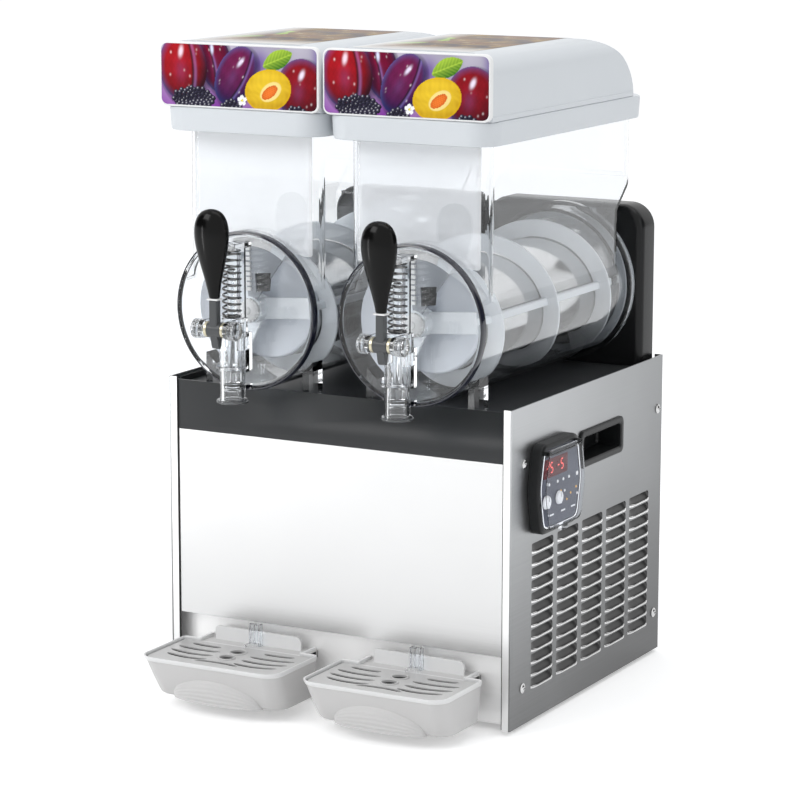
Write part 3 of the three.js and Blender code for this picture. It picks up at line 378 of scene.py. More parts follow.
def new_node(tree, kind, feeds=None, **settings):
    """A node with these settings. feeds says what goes into its inputs, by their label or number."""
    made = tree.nodes.new(kind)
    for label, value in settings.items():
        setattr(made, label, value)
    for key, value in (feeds or {}).items():
        feed(tree, made.inputs[key], value)
    return made


def new_tree(name, kind, inputs, outputs):
    """A node tree with these sockets, the sockets that it starts from and those that it ends in."""
    tree = bpy.data.node_groups.new(name, kind)
    for way, sockets in (("OUTPUT", outputs), ("INPUT", inputs)):
        for label, socket in spaced(sockets).items():
            tree.interface.new_socket(label, in_out=way, socket_type="NodeSocket" + socket)
    return tree, tree.nodes.new("NodeGroupInput").outputs, tree.nodes.new("NodeGroupOutput").inputs


def math_node(tree, operation, *values):
    return new_node(tree, "ShaderNodeMath", dict(enumerate(values)), operation=operation).outputs[0]


# ------------------------------------------------------------------ repeats grown by geometry nodes


def growth_tree(name, **inputs):
    """A geometry node tree with these inputs and a material."""
    return new_tree(name, "GeometryNodeTree", {**inputs, "Material": "Material"}, {"Geometry": "Geometry"})


def close_growth(tree, given, end, geometry):
    """Realises the instances, sets the material and ends the tree."""
    real = new_node(tree, "GeometryNodeRealizeInstances", {"Geometry": geometry}).outputs["Geometry"]
    paint = new_node(tree, "GeometryNodeSetMaterial", {"Geometry": real, "Material": given["Material"]})
    feed(tree, end["Geometry"], paint.outputs["Geometry"])
    return tree


def placed_part(tree, given, points, rotation=(0, 0, 0)):
    """Puts the part named by the input Part on each point."""
    part = new_node(tree, "GeometryNodeObjectInfo", {"Object": given["Part"]}).outputs["Geometry"]
    feeds = {"Points": points, "Instance": part, "Rotation": rotation}
    return new_node(tree, "GeometryNodeInstanceOnPoints", feeds).outputs["Instances"]


def stood_up(tree, mesh):
    """Turns a layout that is drawn flat so that it runs along Y and rises along Z."""
    feeds = {"Geometry": mesh, "Rotation": (math.pi / 2, 0, math.pi / 2)}
    return new_node(tree, "GeometryNodeTransform", feeds).outputs["Geometry"]


def grid_tree():
    """A part repeated in columns along Y and rows along Z."""
    tree, given, end = growth_tree("grid_of_parts", Part="Object", Columns="Int", Rows="Int",
                                   Column_Pitch="Float", Row_Pitch="Float")
    feeds = {"Vertices X": given["Columns"], "Vertices Y": given["Rows"]}
    for size, count, pitch in (("Size X", "Columns", "Column Pitch"), ("Size Y", "Rows", "Row Pitch")):
        gaps = math_node(tree, "SUBTRACT", given[count], 1)
        feeds[size] = math_node(tree, "MULTIPLY", gaps, given[pitch])
    grid = new_node(tree, "GeometryNodeMeshGrid", feeds).outputs["Mesh"]
    return close_growth(tree, given, end, placed_part(tree, given, stood_up(tree, grid)))


def ring_tree():
    """A part repeated round the X axis, turned with its place on the ring."""
    tree, given, end = growth_tree("ring_of_parts", Part="Object", Count="Int", Radius="Float")
    feeds = {"Vertices": given["Count"], "Radius": given["Radius"]}
    ring = new_node(tree, "GeometryNodeMeshCircle", feeds).outputs["Mesh"]
    index = new_node(tree, "GeometryNodeInputIndex").outputs[0]
    angle = math_node(tree, "MULTIPLY", math_node(tree, "DIVIDE", index, given["Count"]), 2 * math.pi)
    turn = new_node(tree, "ShaderNodeCombineXYZ", {"X": angle}).outputs[0]
    return close_growth(tree, given, end, placed_part(tree, given, stood_up(tree, ring), turn))


def row_tree():
    """A part repeated along a straight line."""
    tree, given, end = growth_tree("row_of_parts", Part="Object", Count="Int", Step="Vector")
    line = new_node(tree, "GeometryNodeMeshLine", {"Count": given["Count"], "Offset": given["Step"]})
    return close_growth(tree, given, end, placed_part(tree, given, line.outputs["Mesh"]))


def coil_tree():
    """A round wire wound into a coil that stands on Z."""
    tree, given, end = growth_tree("wound_coil", Coils="Float", Radius="Float", Height="Float",
                                   Wire_Radius="Float", Steps="Int")
    spiral = new_node(tree, "GeometryNodeCurveSpiral", {
        "Resolution": given["Steps"], "Rotations": given["Coils"], "Start Radius": given["Radius"],
        "End Radius": given["Radius"], "Height": given["Height"]})
    section = new_node(tree, "GeometryNodeCurvePrimitiveCircle",
                       {"Resolution": 12, "Radius": given["Wire Radius"]})
    wire = new_node(tree, "GeometryNodeCurveToMesh", {
        "Curve": spiral.outputs["Curve"], "Profile Curve": section.outputs["Curve"], "Fill Caps": True})
    return close_growth(tree, given, end, wire.outputs["Mesh"])


def grown(tree, finish, **values):
    """Grows a tree with these input values into a plain mesh object."""
    carrier = in_scene("grown", bpy.data.meshes.new("grown"))
    step = carrier.modifiers.new("Grow", "NODES")
    step.node_group = tree
    values = spaced(values) | {"Material": MATERIALS[finish]}
    for item in tree.interface.items_tree:
        if item.in_out == "INPUT":
            step[item.identifier] = values[item.name]
    settled(carrier)
    if "Part" in values:
        bpy.data.objects.remove(values["Part"])
    return carrier


# ------------------------------------------------------------------ finishes

MATERIALS = {}
RELIEF_DEPTH = 0.0002


def effect_group(name, **inputs):
    """A shader node group with these inputs, that puts out a colour, a roughness and a normal."""
    outputs = {"Colour": "Color", "Roughness": "Float", "Normal": "Vector"}
    return new_tree(name, "ShaderNodeTree", inputs, outputs)


def noise(tree, vector, scale, detail):
    feeds = {"Vector": vector, "Scale": scale, "Detail": detail}
    return new_node(tree, "ShaderNodeTexNoise", feeds).outputs["Fac"]


def ramp(tree, value, low, high, first=0.0, last=1.0, smooth=True):
    """Runs from first to last while a value runs from low to high."""
    feeds = {"Value": value, "From Min": low, "From Max": high, "To Min": first, "To Max": last}
    kind = "SMOOTHSTEP" if smooth else "LINEAR"
    return new_node(tree, "ShaderNodeMapRange", feeds, interpolation_type=kind).outputs["Result"]


def spread(tree, value, base, amount):
    """base plus amount times how far a 0-to-1 value is from its middle."""
    middle = math_node(tree, "SUBTRACT", value, 0.5)
    return math_node(tree, "ADD", base, math_node(tree, "MULTIPLY", middle, amount))


def mixed_colour(tree, factor, first, second):
    """Mixes two colours. Inputs 6 and 7 of the node are its colours, and output 2 is their mix."""
    feeds = {"Factor": factor, 6: first, 7: second}
    return new_node(tree, "ShaderNodeMix", feeds, data_type="RGBA").outputs[2]


def close_effect(tree, given, end, colour, sheen, relief):
    """Ends an effect with its colour, a roughness that follows its sheen and a bump on its relief."""
    rough = spread(tree, sheen, given["Roughness"], given["Roughness Spread"])
    feeds = {"Height": relief, "Strength": given["Bump"], "Distance": RELIEF_DEPTH}
    bump = new_node(tree, "ShaderNodeBump", feeds).outputs["Normal"]
    for label, value in (("Colour", colour), ("Roughness", rough), ("Normal", bump)):
        feed(tree, end[label], value)
    return tree


def brushed_group():
    """Fine parallel scratches in metal, with painted shade that darkens it slowly towards the bottom and
    towards the rear.
    """
    tree, given, end = effect_group(
        "brushed_grain", Light="Color", Dark="Color", Stretch="Vector", Tone_Low="Float", Tone_High="Float",
        Grain="Float", Roughness="Float", Roughness_Spread="Float", Bump="Float", Rear_Shade="Float")
    place = new_node(tree, "ShaderNodeTexCoord").outputs["Object"]
    drawn_out = new_node(tree, "ShaderNodeVectorMath", {0: place, 1: given["Stretch"]}, operation="MULTIPLY")
    scratches = noise(tree, drawn_out.outputs[0], 1.0, 4)
    clouds = noise(tree, place, 7.0, 2)
    apart = new_node(tree, "ShaderNodeSeparateXYZ", {0: place}).outputs
    # Painted shade: the colour runs from Dark below Tone Low to Light above Tone High, so the metal is
    # lighter upwards as if lit from above.
    tone = ramp(tree, apart["Z"], given["Tone Low"], given["Tone High"])
    grained = spread(tree, scratches, spread(tree, clouds, tone, 0.35), given["Grain"])
    colour = mixed_colour(tree, grained, given["Dark"], given["Light"])
    # Painted shade: the colour darkens towards the rear, as far as Rear Shade says.
    back = ramp(tree, apart["Y"], CAD_LOW.y + 0.1, CAD_HIGH.y, smooth=False)
    fall = math_node(tree, "MULTIPLY", back, given["Rear Shade"])
    colour = mixed_colour(tree, fall, colour, (0.02, 0.02, 0.02, 1))
    return close_effect(tree, given, end, colour, scratches, scratches)


def moulded_group():
    """The faint orange peel and uneven sheen of moulded plastic, rubber and paint."""
    tree, given, end = effect_group("moulded_skin", Light="Color", Dark="Color", Grain_Scale="Float",
                                    Roughness="Float", Roughness_Spread="Float", Bump="Float")
    place = new_node(tree, "ShaderNodeTexCoord").outputs["Object"]
    peel = noise(tree, place, given["Grain Scale"], 3)
    clouds = noise(tree, place, 14.0, 3)
    colour = mixed_colour(tree, clouds, given["Dark"], given["Light"])
    return close_effect(tree, given, end, colour, clouds, peel)


EFFECTS = {"brushed": brushed_group(), "moulded": moulded_group()}


def grey(value, blue=0.0):
    return (value, value + blue / 2, value + blue, 1)


def new_finish(name, **plain):
    """A material with one Principled shader and its plain values."""
    material = bpy.data.materials.new(name)
    material.use_nodes = True
    shader = material.node_tree.nodes["Principled BSDF"]
    for label, value in spaced(plain).items():
        shader.inputs[label].default_value = value
    MATERIALS[name] = material
    return material.node_tree, shader


def with_effect(tree, shader, effect, coloured=True, **values):
    """Feeds a shader from one of the shared effects."""
    made = new_node(tree, "ShaderNodeGroup", spaced(values), node_tree=EFFECTS[effect])
    for label in ("Roughness", "Normal"):
        feed(tree, shader.inputs[label], made.outputs[label])
    if coloured:
        feed(tree, shader.inputs["Base Color"], made.outputs["Colour"])


def steel(name, light, dark, roughness, stretch, low, high, grain=0.25, bump=0.12, rear=0.0):
    tree, shader = new_finish(name, Metallic=1.0)
    with_effect(tree, shader, "brushed", Light=light, Dark=dark, Stretch=stretch, Tone_Low=low,
                Tone_High=high, Grain=grain, Roughness=roughness, Roughness_Spread=roughness * 0.5,
                Bump=bump, Rear_Shade=rear)


def plastic(name, light, dark, roughness, coat=0.0, bump=0.08, **plain):
    tree, shader = new_finish(name, Coat_Weight=coat, Coat_Roughness=0.08, **plain)
    with_effect(tree, shader, "moulded", Light=light, Dark=dark, Roughness=roughness,
                Roughness_Spread=roughness * 0.3, Bump=bump, Grain_Scale=900.0)


def clear(name, colour, roughness, ior, shadow):
    """Clear moulded plastic. Lamps shine through it as through a tinted sheet."""
    tree, shader = new_finish(name, Base_Color=colour, Transmission_Weight=1.0, IOR=ior)
    with_effect(tree, shader, "moulded", coloured=False, Grain_Scale=40.0, Roughness=roughness,
                Roughness_Spread=roughness * 0.5, Bump=0.03)
    through = new_node(tree, "ShaderNodeBsdfTransparent", {"Color": shadow}).outputs[0]
    shaded_ray = new_node(tree, "ShaderNodeLightPath").outputs["Is Shadow Ray"]
    mix = new_node(tree, "ShaderNodeMixShader", {"Fac": shaded_ray, 1: shader.outputs[0], 2: through})
    feed(tree, tree.nodes["Material Output"].inputs["Surface"], mix.outputs[0])


def glowing(name, colour, strength):
    new_finish(name, Base_Color=(0.05, 0.05, 0.05, 1), Emission_Color=colour, Emission_Strength=strength,
               Roughness=0.3)


def picture_finish():
    """Printed film: its colours lie in the mesh's own colour attribute, with a fine print grain."""
    tree, shader = new_finish("picture_print", Specular_IOR_Level=0.12)
    ink = new_node(tree, "ShaderNodeVertexColor", layer_name="Print")
    feed(tree, shader.inputs["Base Color"], ink.outputs["Color"])
    with_effect(tree, shader, "moulded", coloured=False, Grain_Scale=2500.0, Roughness=0.3,
                Roughness_Spread=0.1, Bump=0.1)


def make_finishes():
    upright = (3, 3, 900)
    level = (900, 3, 900)
    # Each steel carries the brushed grain's painted shade: darker below its low height, lighter above its
    # high one, and rear darkens it towards the rear.
    steel("satin_steel", grey(0.50, 0.02), grey(0.17, 0.003), 0.33, (400, 4, 1200), 0.0, 0.36, rear=0.42)
    # Painted highlight: the louvre lips are the side panel's steel made much lighter, as if catching the
    # light from above.
    steel("lip_steel", grey(0.86), grey(0.62), 0.22, (400, 4, 1200), 0.0, 0.2, rear=0.1)
    # Painted highlight: the front flanges are the panel steel made near white, as if catching the light.
    steel("flange_steel", grey(0.95), grey(0.70), 0.3, (400, 400, 4), 0.0, 0.2, grain=0.1, bump=0.04)
    # Painted shade: the louvre blades are the side panel's steel made nearly black, as if lying in the shadow
    # of the slots.
    plastic("louvre_shade", grey(0.085), grey(0.06), 0.35, Metallic=0.6)
    steel("bright_steel", grey(0.70), grey(0.60), 0.24, (4, 400, 900), 0.05, 0.30, grain=0.12, bump=0.05)
    # Painted light: the kick panel's steel is made lighter than the front panel's, to cancel the shade that
    # the trays cast on it.
    steel("kick_steel", grey(0.98), grey(0.90), 0.6, (4, 400, 900), 0.0, 0.07, grain=0.12, bump=0.05)
    steel("mirror_steel", grey(0.66, 0.01), grey(0.30), 0.12, (300, 12, 300), 0.33, 0.47, grain=0.3,
          bump=0.05)
    steel("cast_metal", grey(0.30), grey(0.16), 0.5, (60, 60, 60), 0.0, 0.5, grain=0.5, bump=0.3)
    steel("condenser_fins", grey(0.62), grey(0.34), 0.4, (20, 900, 20), 0.0, 0.3, grain=0.9, bump=0.8)
    steel("drier_copper", (0.72, 0.34, 0.19, 1), (0.5, 0.2, 0.1, 1), 0.3, upright, 0.0, 0.2)
    steel("spring_wire", grey(0.24), grey(0.10), 0.14, level, 0.3, 0.6, bump=0.02)
    steel("spring_steel", grey(0.9), grey(0.6), 0.12, level, 0.3, 0.6, bump=0.02)
    plastic("dark_plastic", grey(0.016, 0.002), grey(0.010, 0.001), 0.34, bump=0.1, Specular_IOR_Level=0.22)
    plastic("deck_charcoal", grey(0.040, 0.004), grey(0.030, 0.003), 0.4, bump=0.1, Specular_IOR_Level=0.25)
    # Painted shade: the tray's lining is its grey plastic made nearly black, as if in the shadow under the
    # grid.
    plastic("tray_shade", grey(0.03), grey(0.024), 0.5, Specular_IOR_Level=0.1)
    # Painted highlight: the tray's rim is the tray's plastic made lighter, as if catching the light along its
    # edge.
    plastic("rim_white", grey(0.80), grey(0.76), 0.3)
    plastic("arm_smoke", (0.37, 0.39, 0.42, 1), (0.32, 0.34, 0.37, 1), 0.3)
    # Painted reflection: a half-clear white sheet laid on the tank's front pane for its sheen.
    new_finish("pane_sheen", Base_Color=(0.95, 0.96, 0.98, 1), Alpha=0.44, Roughness=0.5,
               Specular_IOR_Level=0.0)
    plastic("gloss_black", grey(0.004), grey(0.002), 0.16, bump=0.02, Specular_IOR_Level=0.16)
    plastic("grey_plastic", grey(0.10), grey(0.075), 0.35)
    plastic("pale_grey", (0.67, 0.70, 0.73, 1), (0.63, 0.66, 0.69, 1), 0.36, bump=0.04)
    plastic("tray_grey", (0.62, 0.612, 0.608, 1), (0.565, 0.557, 0.553, 1), 0.4, bump=0.05)
    plastic("auger_white", (0.84, 0.87, 0.90, 1), (0.76, 0.80, 0.84, 1), 0.3)
    plastic("cap_grey", (0.76, 0.80, 0.86, 1), (0.68, 0.72, 0.78, 1), 0.3)
    plastic("slate_blue", (0.105, 0.112, 0.140, 1), (0.088, 0.095, 0.120, 1), 0.35, Specular_IOR_Level=0.1)
    plastic("dial_white", grey(0.93), grey(0.88), 0.3)
    plastic("soft_rubber", grey(0.015), grey(0.01), 0.7, bump=0.3)
    plastic("clear_rubber", (0.52, 0.55, 0.58, 1), (0.46, 0.49, 0.52, 1), 0.45)
    plastic("enamel_black", grey(0.012), grey(0.008), 0.3, coat=0.4)
    plastic("picture_edge", grey(0.86), grey(0.82), 0.35)
    plastic("washer_brass", (0.62, 0.58, 0.44, 1), (0.5, 0.46, 0.34, 1), 0.3, Metallic=0.9)
    plastic("display_glass", (0.11, 0.014, 0.016, 1), (0.08, 0.01, 0.012, 1), 0.25, Specular_IOR_Level=0.1)
    clear("clear_plastic", (0.975, 0.985, 0.995, 1), 0.01, 1.42, (0.96, 0.97, 0.98, 1))
    clear("cover_tint", (0.94, 0.955, 0.985, 1), 0.02, 1.12, (0.94, 0.96, 0.99, 1))
    clear("thin_clear", (0.97, 0.98, 0.99, 1), 0.01, 1.22, (0.96, 0.97, 0.98, 1))
    glowing("lamp_red", (1.0, 0.08, 0.06, 1), 1.4)
    glowing("lamp_white", (1.0, 1.0, 1.0, 1), 0.7)
    glowing("lamp_amber", (1.0, 0.55, 0.1, 1), 0.7)
    plastic("tower_plastic", grey(0.012, 0.001), grey(0.008, 0.001), 0.25, bump=0.03, Specular_IOR_Level=0.2)
    plastic("shank_grey", grey(0.085, 0.008), grey(0.065, 0.006), 0.3, Specular_IOR_Level=0.3)
    plastic("auger_tip", grey(0.80), grey(0.76), 0.35)
    plastic("wing_grey", (0.56, 0.59, 0.64, 1), (0.50, 0.53, 0.58, 1), 0.3)
    # Painted shade: the dark sheet in the auger arm's window.
    plastic("pane_smoke", grey(0.055), grey(0.045), 0.3)
    plastic("grid_grey", (0.565, 0.56, 0.557, 1), (0.505, 0.50, 0.497, 1), 0.32)
    # Painted shade: the near-black ring at the edge of the clear bowl's front face.
    plastic("rim_shade", (0.014, 0.015, 0.028, 1), (0.009, 0.01, 0.02, 1), 0.1, coat=0.5, bump=0.02)
    picture_finish()


# ------------------------------------------------------------------ cabinet

LOUVRE = {"width": 50, "height": 9.6, "columns": 5, "rows": 12, "pitch_y": 59.5, "pitch_z": 12.8,
          "first_y": 72.5, "first_z": 39}
GRIP_CORNER = 6
PANEL_SCREWS = [(28, 270.5), (356, 271), (28, 39), (353, 43)]


def louvre_part(profile):
    """One pressed part of a louvre, drawn in to a point at its front end and rounded off at its rear end."""
    reach = LOUVRE["width"] / 2
    rings = []
    for share in (-1, -0.96, -0.88, -0.75, -0.5, 0, 0.5, 0.76, 0.86, 0.93, 0.975, 1):
        rise = min(1, 0.12 + (share + 1) * 2.4, 0.06 + math.sqrt(max(1 - share, 0) * 4.2))
        rings.append([(x * rise, reach * share, z + (1 - rise) * 1.0) for x, z in profile])
    return loft(rings)


def louvre_blade():
    """The blade that leans in behind the sheet."""
    return louvre_part([(-0.6, -4.8), (-0.9, -3.6), (-1.9, -1.6), (-3.4, 0.8), (-4.6, 2.8), (-5.4, 4.4),
                        (-6.0, 4.0), (-5.0, 2.2), (-3.8, 0.2), (-2.5, -2.2), (-1.5, -4.2), (-1.3, -5.4),
                        (-0.6, -5.6)])


def louvre_lip():
    """The lip that stands out along the louvre's lower edge."""
    return louvre_part([(0.05, -6.4), (1.5, -6.3), (2.2, -5.6), (2.3, -4.7), (1.9, -3.9), (1.1, -3.5),
                        (0.2, -3.6), (-0.6, -4.2), (-0.9, -5.2), (-0.7, -6.2)])


def louvre_bank(finish, part, x):
    """The field of louvres, each one like the part given, at x on the side panel."""
    bank = grown(GRID, finish, Part=part, Columns=LOUVRE["columns"], Rows=LOUVRE["rows"],
                 Column_Pitch=LOUVRE["pitch_y"], Row_Pitch=LOUVRE["pitch_z"])
    return moved(bank, x, LOUVRE["first_y"] + (LOUVRE["columns"] - 1) * LOUVRE["pitch_y"] / 2,
                 LOUVRE["first_z"] + (LOUVRE["rows"] - 1) * LOUVRE["pitch_z"] / 2)


def screw():
    """A pan-head screw with its washer and a cross recess, drawn along +X from the panel's face."""
    profile = [(0, 0.2), (5.2, 0.2), (5.2, 0.9), (4.4, 1.1), (4.2, 1.4), (3.6, 2.0), (2.2, 2.5), (0, 2.6)]
    recess = [block(1.5, 4, -0.5, 0.5, -2.2, 2.2), block(1.5, 4, -2.2, 2.2, -0.5, 0.5)]
    return carved(turned(profile, "x", segments=32), *recess)


def side_panel():
    """The right-hand panel, without its vanes and screws."""
    plate = fused(
        block(HALF - SHEET, HALF, 0, DEPTH, 0, HEIGHT),
        block(HALF - FLANGE, HALF - 0.1, DEPTH - SHEET, DEPTH, 0, HEIGHT),
    )
    half_w = GRIP["width"] / 2 + 2.3
    half_h = GRIP["height"] / 2 + 2.3
    mouth = prism(rounded(GRIP["y"] - half_w, GRIP["y"] + half_w, GRIP["z"] - half_h, GRIP["z"] + half_h,
                          GRIP_CORNER), "x", HALF - 4, HALF + 2)
    reach, rise = LOUVRE["width"] / 2, LOUVRE["height"] / 2
    slot = prism(rounded(-reach, reach, -rise, rise, (1, 1, 3.6, 1.6), 4), "x", -4, 4)
    return softened(carved(plate, mouth, louvre_bank("satin_steel", slot, HALF)), 0.35, 2, 60)


def fit_side(thing, side, name, finish, replaces=(), slot=None):
    """Ties a piece drawn for the cabinet's right side to it, mirrored where it is for the left side."""
    publish(handed(thing, side), name, finish, "cabinet", replaces, slot)


def cabinet_side(side):
    """One side of the cabinet: its panel with louvres and screws, and the flange folded round its front."""
    fit_side(side_panel(), side, f"side_panel_{side}_sheet", "satin_steel", [f"side_panel_{side}"])
    # The blades are painted shade and the lips a painted highlight; both stand for the side panel's own
    # steel.
    vanes = (("blades", louvre_blade, "louvre_shade"), ("lips", louvre_lip, "lip_steel"))
    for part, shape, finish in vanes:
        bank = louvre_bank(finish, softened(shape(), 0), HALF - 0.1)
        fit_side(bank, side, f"louvre_{part}_{side}", finish, slot="satin_steel")
    fold = HALF - FLANGE
    # The flange is painted lighter than the front panel, as a highlight along the cabinet's front edges.
    flange = soft_block(0.3, 2, fold, HALF - SHEET - 0.1, 0.02, SHEET, 0.1, HEIGHT - 0.1)
    fit_side(flange, side, f"front_flange_{side}", "flange_steel", slot="bright_steel")
    seam = block(fold - 0.9, fold - 0.02, 0.4, SHEET, 1, HEIGHT - 1)
    fit_side(seam, side, f"flange_seam_{side}", "soft_rubber", slot="dark_plastic")
    heads = gathered(*[moved(screw(), HALF, y, z) for y, z in PANEL_SCREWS])
    fit_side(heads, side, f"panel_screws_{side}", "spring_steel", slot="bright_steel")


def grip_pocket(side):
    low = GRIP["y"] - GRIP["width"] / 2
    high = GRIP["y"] + GRIP["width"] / 2
    bottom = GRIP["z"] - GRIP["height"] / 2
    top = GRIP["z"] + GRIP["height"] / 2
    face = HALF + GAP

    def mouth(*rows, capped=False):
        return skin("x", [(x, rounded(low - out, high + out, bottom - out, top + out, corner))
                          for x, out, corner in rows], capped)

    lining = mouth((face, 7, 6), (face + 1.6, 7, 6), (face + 2.5, 5.8, 5.2), (face + 2.5, 1.4, 4.6),
                   (face + 1.4, 0, 4), (HALF - 24, 0, 4), (HALF - 26, -2, 3))
    back = mouth((HALF - 28, -1.9, 3), (HALF - 25.9, -1.9, 3), capped=True)
    tunnel = mouth((face, 1.9, 5), (HALF - 28, 1.9, 5))
    fit_side(gathered(lining, back, tunnel), side, f"grip_pocket_{side}_liner", "dark_plastic",
             [f"grip_pocket_{side}"])


def cabinet_sides():
    for shape in (cabinet_side, grip_pocket):
        for side in SIDES:
            shape(side)


def refined_pieces():
    """Sheet and moulded pieces whose shape is already right: only their edges are rounded."""
    jobs = [
        ("top_deck", 0.9, "deck_charcoal"), ("front_panel", 0.4, "bright_steel"),
        # The kick panel takes steel painted lighter to cancel the trays' shade.
        ("front_kick_panel", 0.4, "kick_steel"), ("rear_panel", 0.4, "satin_steel"),
        ("base_pan", 0.5, "satin_steel"), ("condenser", 0.3, "condenser_fins"),
        ("fan_shroud", 0.6, "enamel_black"), ("electrical_box", 1.0, "pale_grey"),
        ("fan_motor", 0.8, "cast_metal"), ("cable_gland", 0.6, "soft_rubber"),
    ]
    for node, width, finish in jobs:
        slot = {"kick_steel": "satin_steel", "deck_charcoal": "dark_plastic"}.get(finish, finish)
        publish(softened(refined(node), width, 2), f"{node}_trimmed", finish, "cabinet", [node], slot)


def rear_louvres():
    """Pressed vanes in the slots of the rear panel."""
    width, pitch, first_z = 180, 16, 122.6
    vane = spun(gathered(louvre_blade(), louvre_lip()), "Z", 90)
    vane.data.transform(Matrix.Diagonal((width / LOUVRE["width"], 0.6, 0.62, 1)))
    row = grown(ROW, "satin_steel", Part=vane, Count=8, Step=(0, 0, pitch))
    publish(moved(row, 0, span("rear_panel")[1].y, first_z), "rear_vanes", "satin_steel", "cabinet")


def feet():
    """Four ribbed rubber feet."""
    for node in (f"foot_{end}_{side}" for end in ("front", "rear") for side in SIDES):
        low, high = span(node)
        lower = [(0, 0), (12.4, 0), (13.2, 0.3), (14, 1), (16.6, 3.4), (17, 4.4), (16.2, 6), (17, 7.6)]
        profile = [(r, low.z + z) for r, z in lower] + [(17, high.z - 0.6), (16.4, high.z), (0, high.z)]
        pad = moved(turned(profile, "z", segments=64), (low.x + high.x) / 2, (low.y + high.y) / 2)
        publish(pad, f"{node}_pad", "soft_rubber", "cabinet", [node])


# ------------------------------------------------------------------ control panel


def control_outline(inset, corner, steps=6):
    """The housing's outline drawn inwards by an inset: widest half way up, with rounded corners."""
    bottom = CONTROL["bottom"] + inset
    top = CONTROL["bottom"] + CONTROL["height"] - inset
    wide = CONTROL["width"] / 2 - inset
    narrow = wide - CONTROL["taper"]
    middle = (bottom + top) / 2
    y = CONTROL["y"]
    points = [(y - narrow, bottom), (y + narrow, bottom), (y + wide, middle), (y + narrow, top),
              (y - narrow, top), (y - wide, middle)]
    outline = []
    for i, point in enumerate(points):
        here = Vector(point)
        start = here + (Vector(points[i - 1]) - here).normalized() * corner
        end = here + (Vector(points[(i + 1) % 6]) - here).normalized() * corner
        for k in range(steps + 1):
            t = k / steps
            outline.append(tuple(start * (1 - t) ** 2 + here * 2 * t * (1 - t) + end * t ** 2))
    return outline


HOUSING_BACK = HALF + GAP
HOUSING_FRONT = HOUSING_BACK + CONTROL["proud"]


def control_skin(*rows):
    """A skin through outlines of the housing, each given by its x, its inset and its corner."""
    return skin("x", [(x, control_outline(inset, corner)) for x, inset, corner in rows])


def control_housing():
    front = HOUSING_FRONT
    shell = control_skin((HOUSING_BACK, 0, 12), (front - 3, 0, 12), (front - 1.2, 0.6, 12),
                         (front - 0.2, 2.2, 11), (front, 3.6, 10), (front, 6.0, 9),
                         (front - 0.4, 6.7, 8.6), (front - 2.3, 6.7, 8.6))
    end = span("control_cover")[1].x
    lugs = []
    for y in (CONTROL["y"] - 37.8, CONTROL["y"] + 37.8):
        lugs.append(soft_block(0.8, 3, front - 1.5, end, y - 2.2, y + 2.2, 276.2, 280.6))
    publish(gathered(shell, *lugs), "control_housing_shell", "dark_plastic", "cabinet", ["control_housing"])


def face_plate():
    front = HOUSING_FRONT
    plate = control_skin((front - 2, 7, 8), (front - 0.6, 7, 8), (front - 0.3, 7.6, 8))
    band = control_skin((front - 0.5, 7.4, 8), (front - 0.12, 7.6, 8))
    band = shared(band, block(front - 3, front + 1, 0, 200, 272.6, 300))
    publish(plate, "control_face_plate", "slate_blue", "cabinet", ["control_face"])
    publish(band, "control_face_band", "dark_plastic", "cabinet")


SEGMENTS = {"a": (0, 2, 1), "c": (1, 0, 0), "d": (0, 0, 1), "f": (0, 1, 0), "g": (0, 1, 1)}
DIGITS = {"5": "acdfg", "-": "g"}


def digit_bars(text, x, y, z, size):
    """Seven-segment digits lying on a face that looks along +X."""
    bars = []
    width = size * 0.5
    thick = size * 0.12
    for k, sign in enumerate(text):
        left = y + k * size * 0.82
        for key in DIGITS[sign]:
            across, up, level = SEGMENTS[key]
            low = z + up * size / 2
            if level:
                bar = (left + thick * 0.6, left + width - thick * 0.6, low - thick / 2, low + thick / 2)
            else:
                edge = left + across * width
                bar = (edge - thick / 2, edge + thick / 2, low + thick * 0.6, low + size / 2 - thick * 0.6)
            bars.append(block(x, x + 0.15, *bar))
    return gathered(*bars)


def display():
    front = HOUSING_FRONT - 0.3
    window = prism(rounded(47, 102, 251.5, 271, 2), "x", front - 0.2, front + 0.35)
    publish(softened(window, 0.2, 2), "display_window", "display_glass", "cabinet", slot="slate_blue")
    digits = [digit_bars("-5", front + 0.36, y, 256.5, 10) for y in (54, 78)]
    publish(gathered(*digits), "display_digits", "lamp_red", "cabinet", slot="dial_white")


def button_lamps():
    """Pilot lamps and button bars on the control face."""
    front = HOUSING_FRONT - 0.35
    groups = {
        "lamp_white": [(59.7, 244.6, 1.6), (79.3, 244.6, 1.6), (92.4, 244.6, 1.6), (105.7, 244.6, 1.6),
                       (124.9, 244.6, 2.2), (125.5, 223.7, 1.5), (96, 232, 1.3)],
        "lamp_amber": [(87, 233.4, 1.2), (110, 227, 1.2), (122.8, 231, 1.3), (101, 222, 1.2)],
    }
    for finish, places in groups.items():
        lamps = []
        for y, z, radius in places:
            dome = [(0, front), (radius, front), (radius, front + 0.4), (radius * 0.7, front + 0.8),
                    (0, front + 1.0)]
            lamps.append(turned(dome, "x", (y, z), 24))
        publish(gathered(*lamps), f"pilot_{finish}s", finish, "cabinet", slot="dial_white")
    bars = []
    for y in (66, 92.5, 116):
        bars.append(soft_block(0.3, 2, front, front + 0.7, y - 4.5, y + 4.5, 211.4, 213.2))
    publish(gathered(*bars), "button_bars", "dial_white", "cabinet")


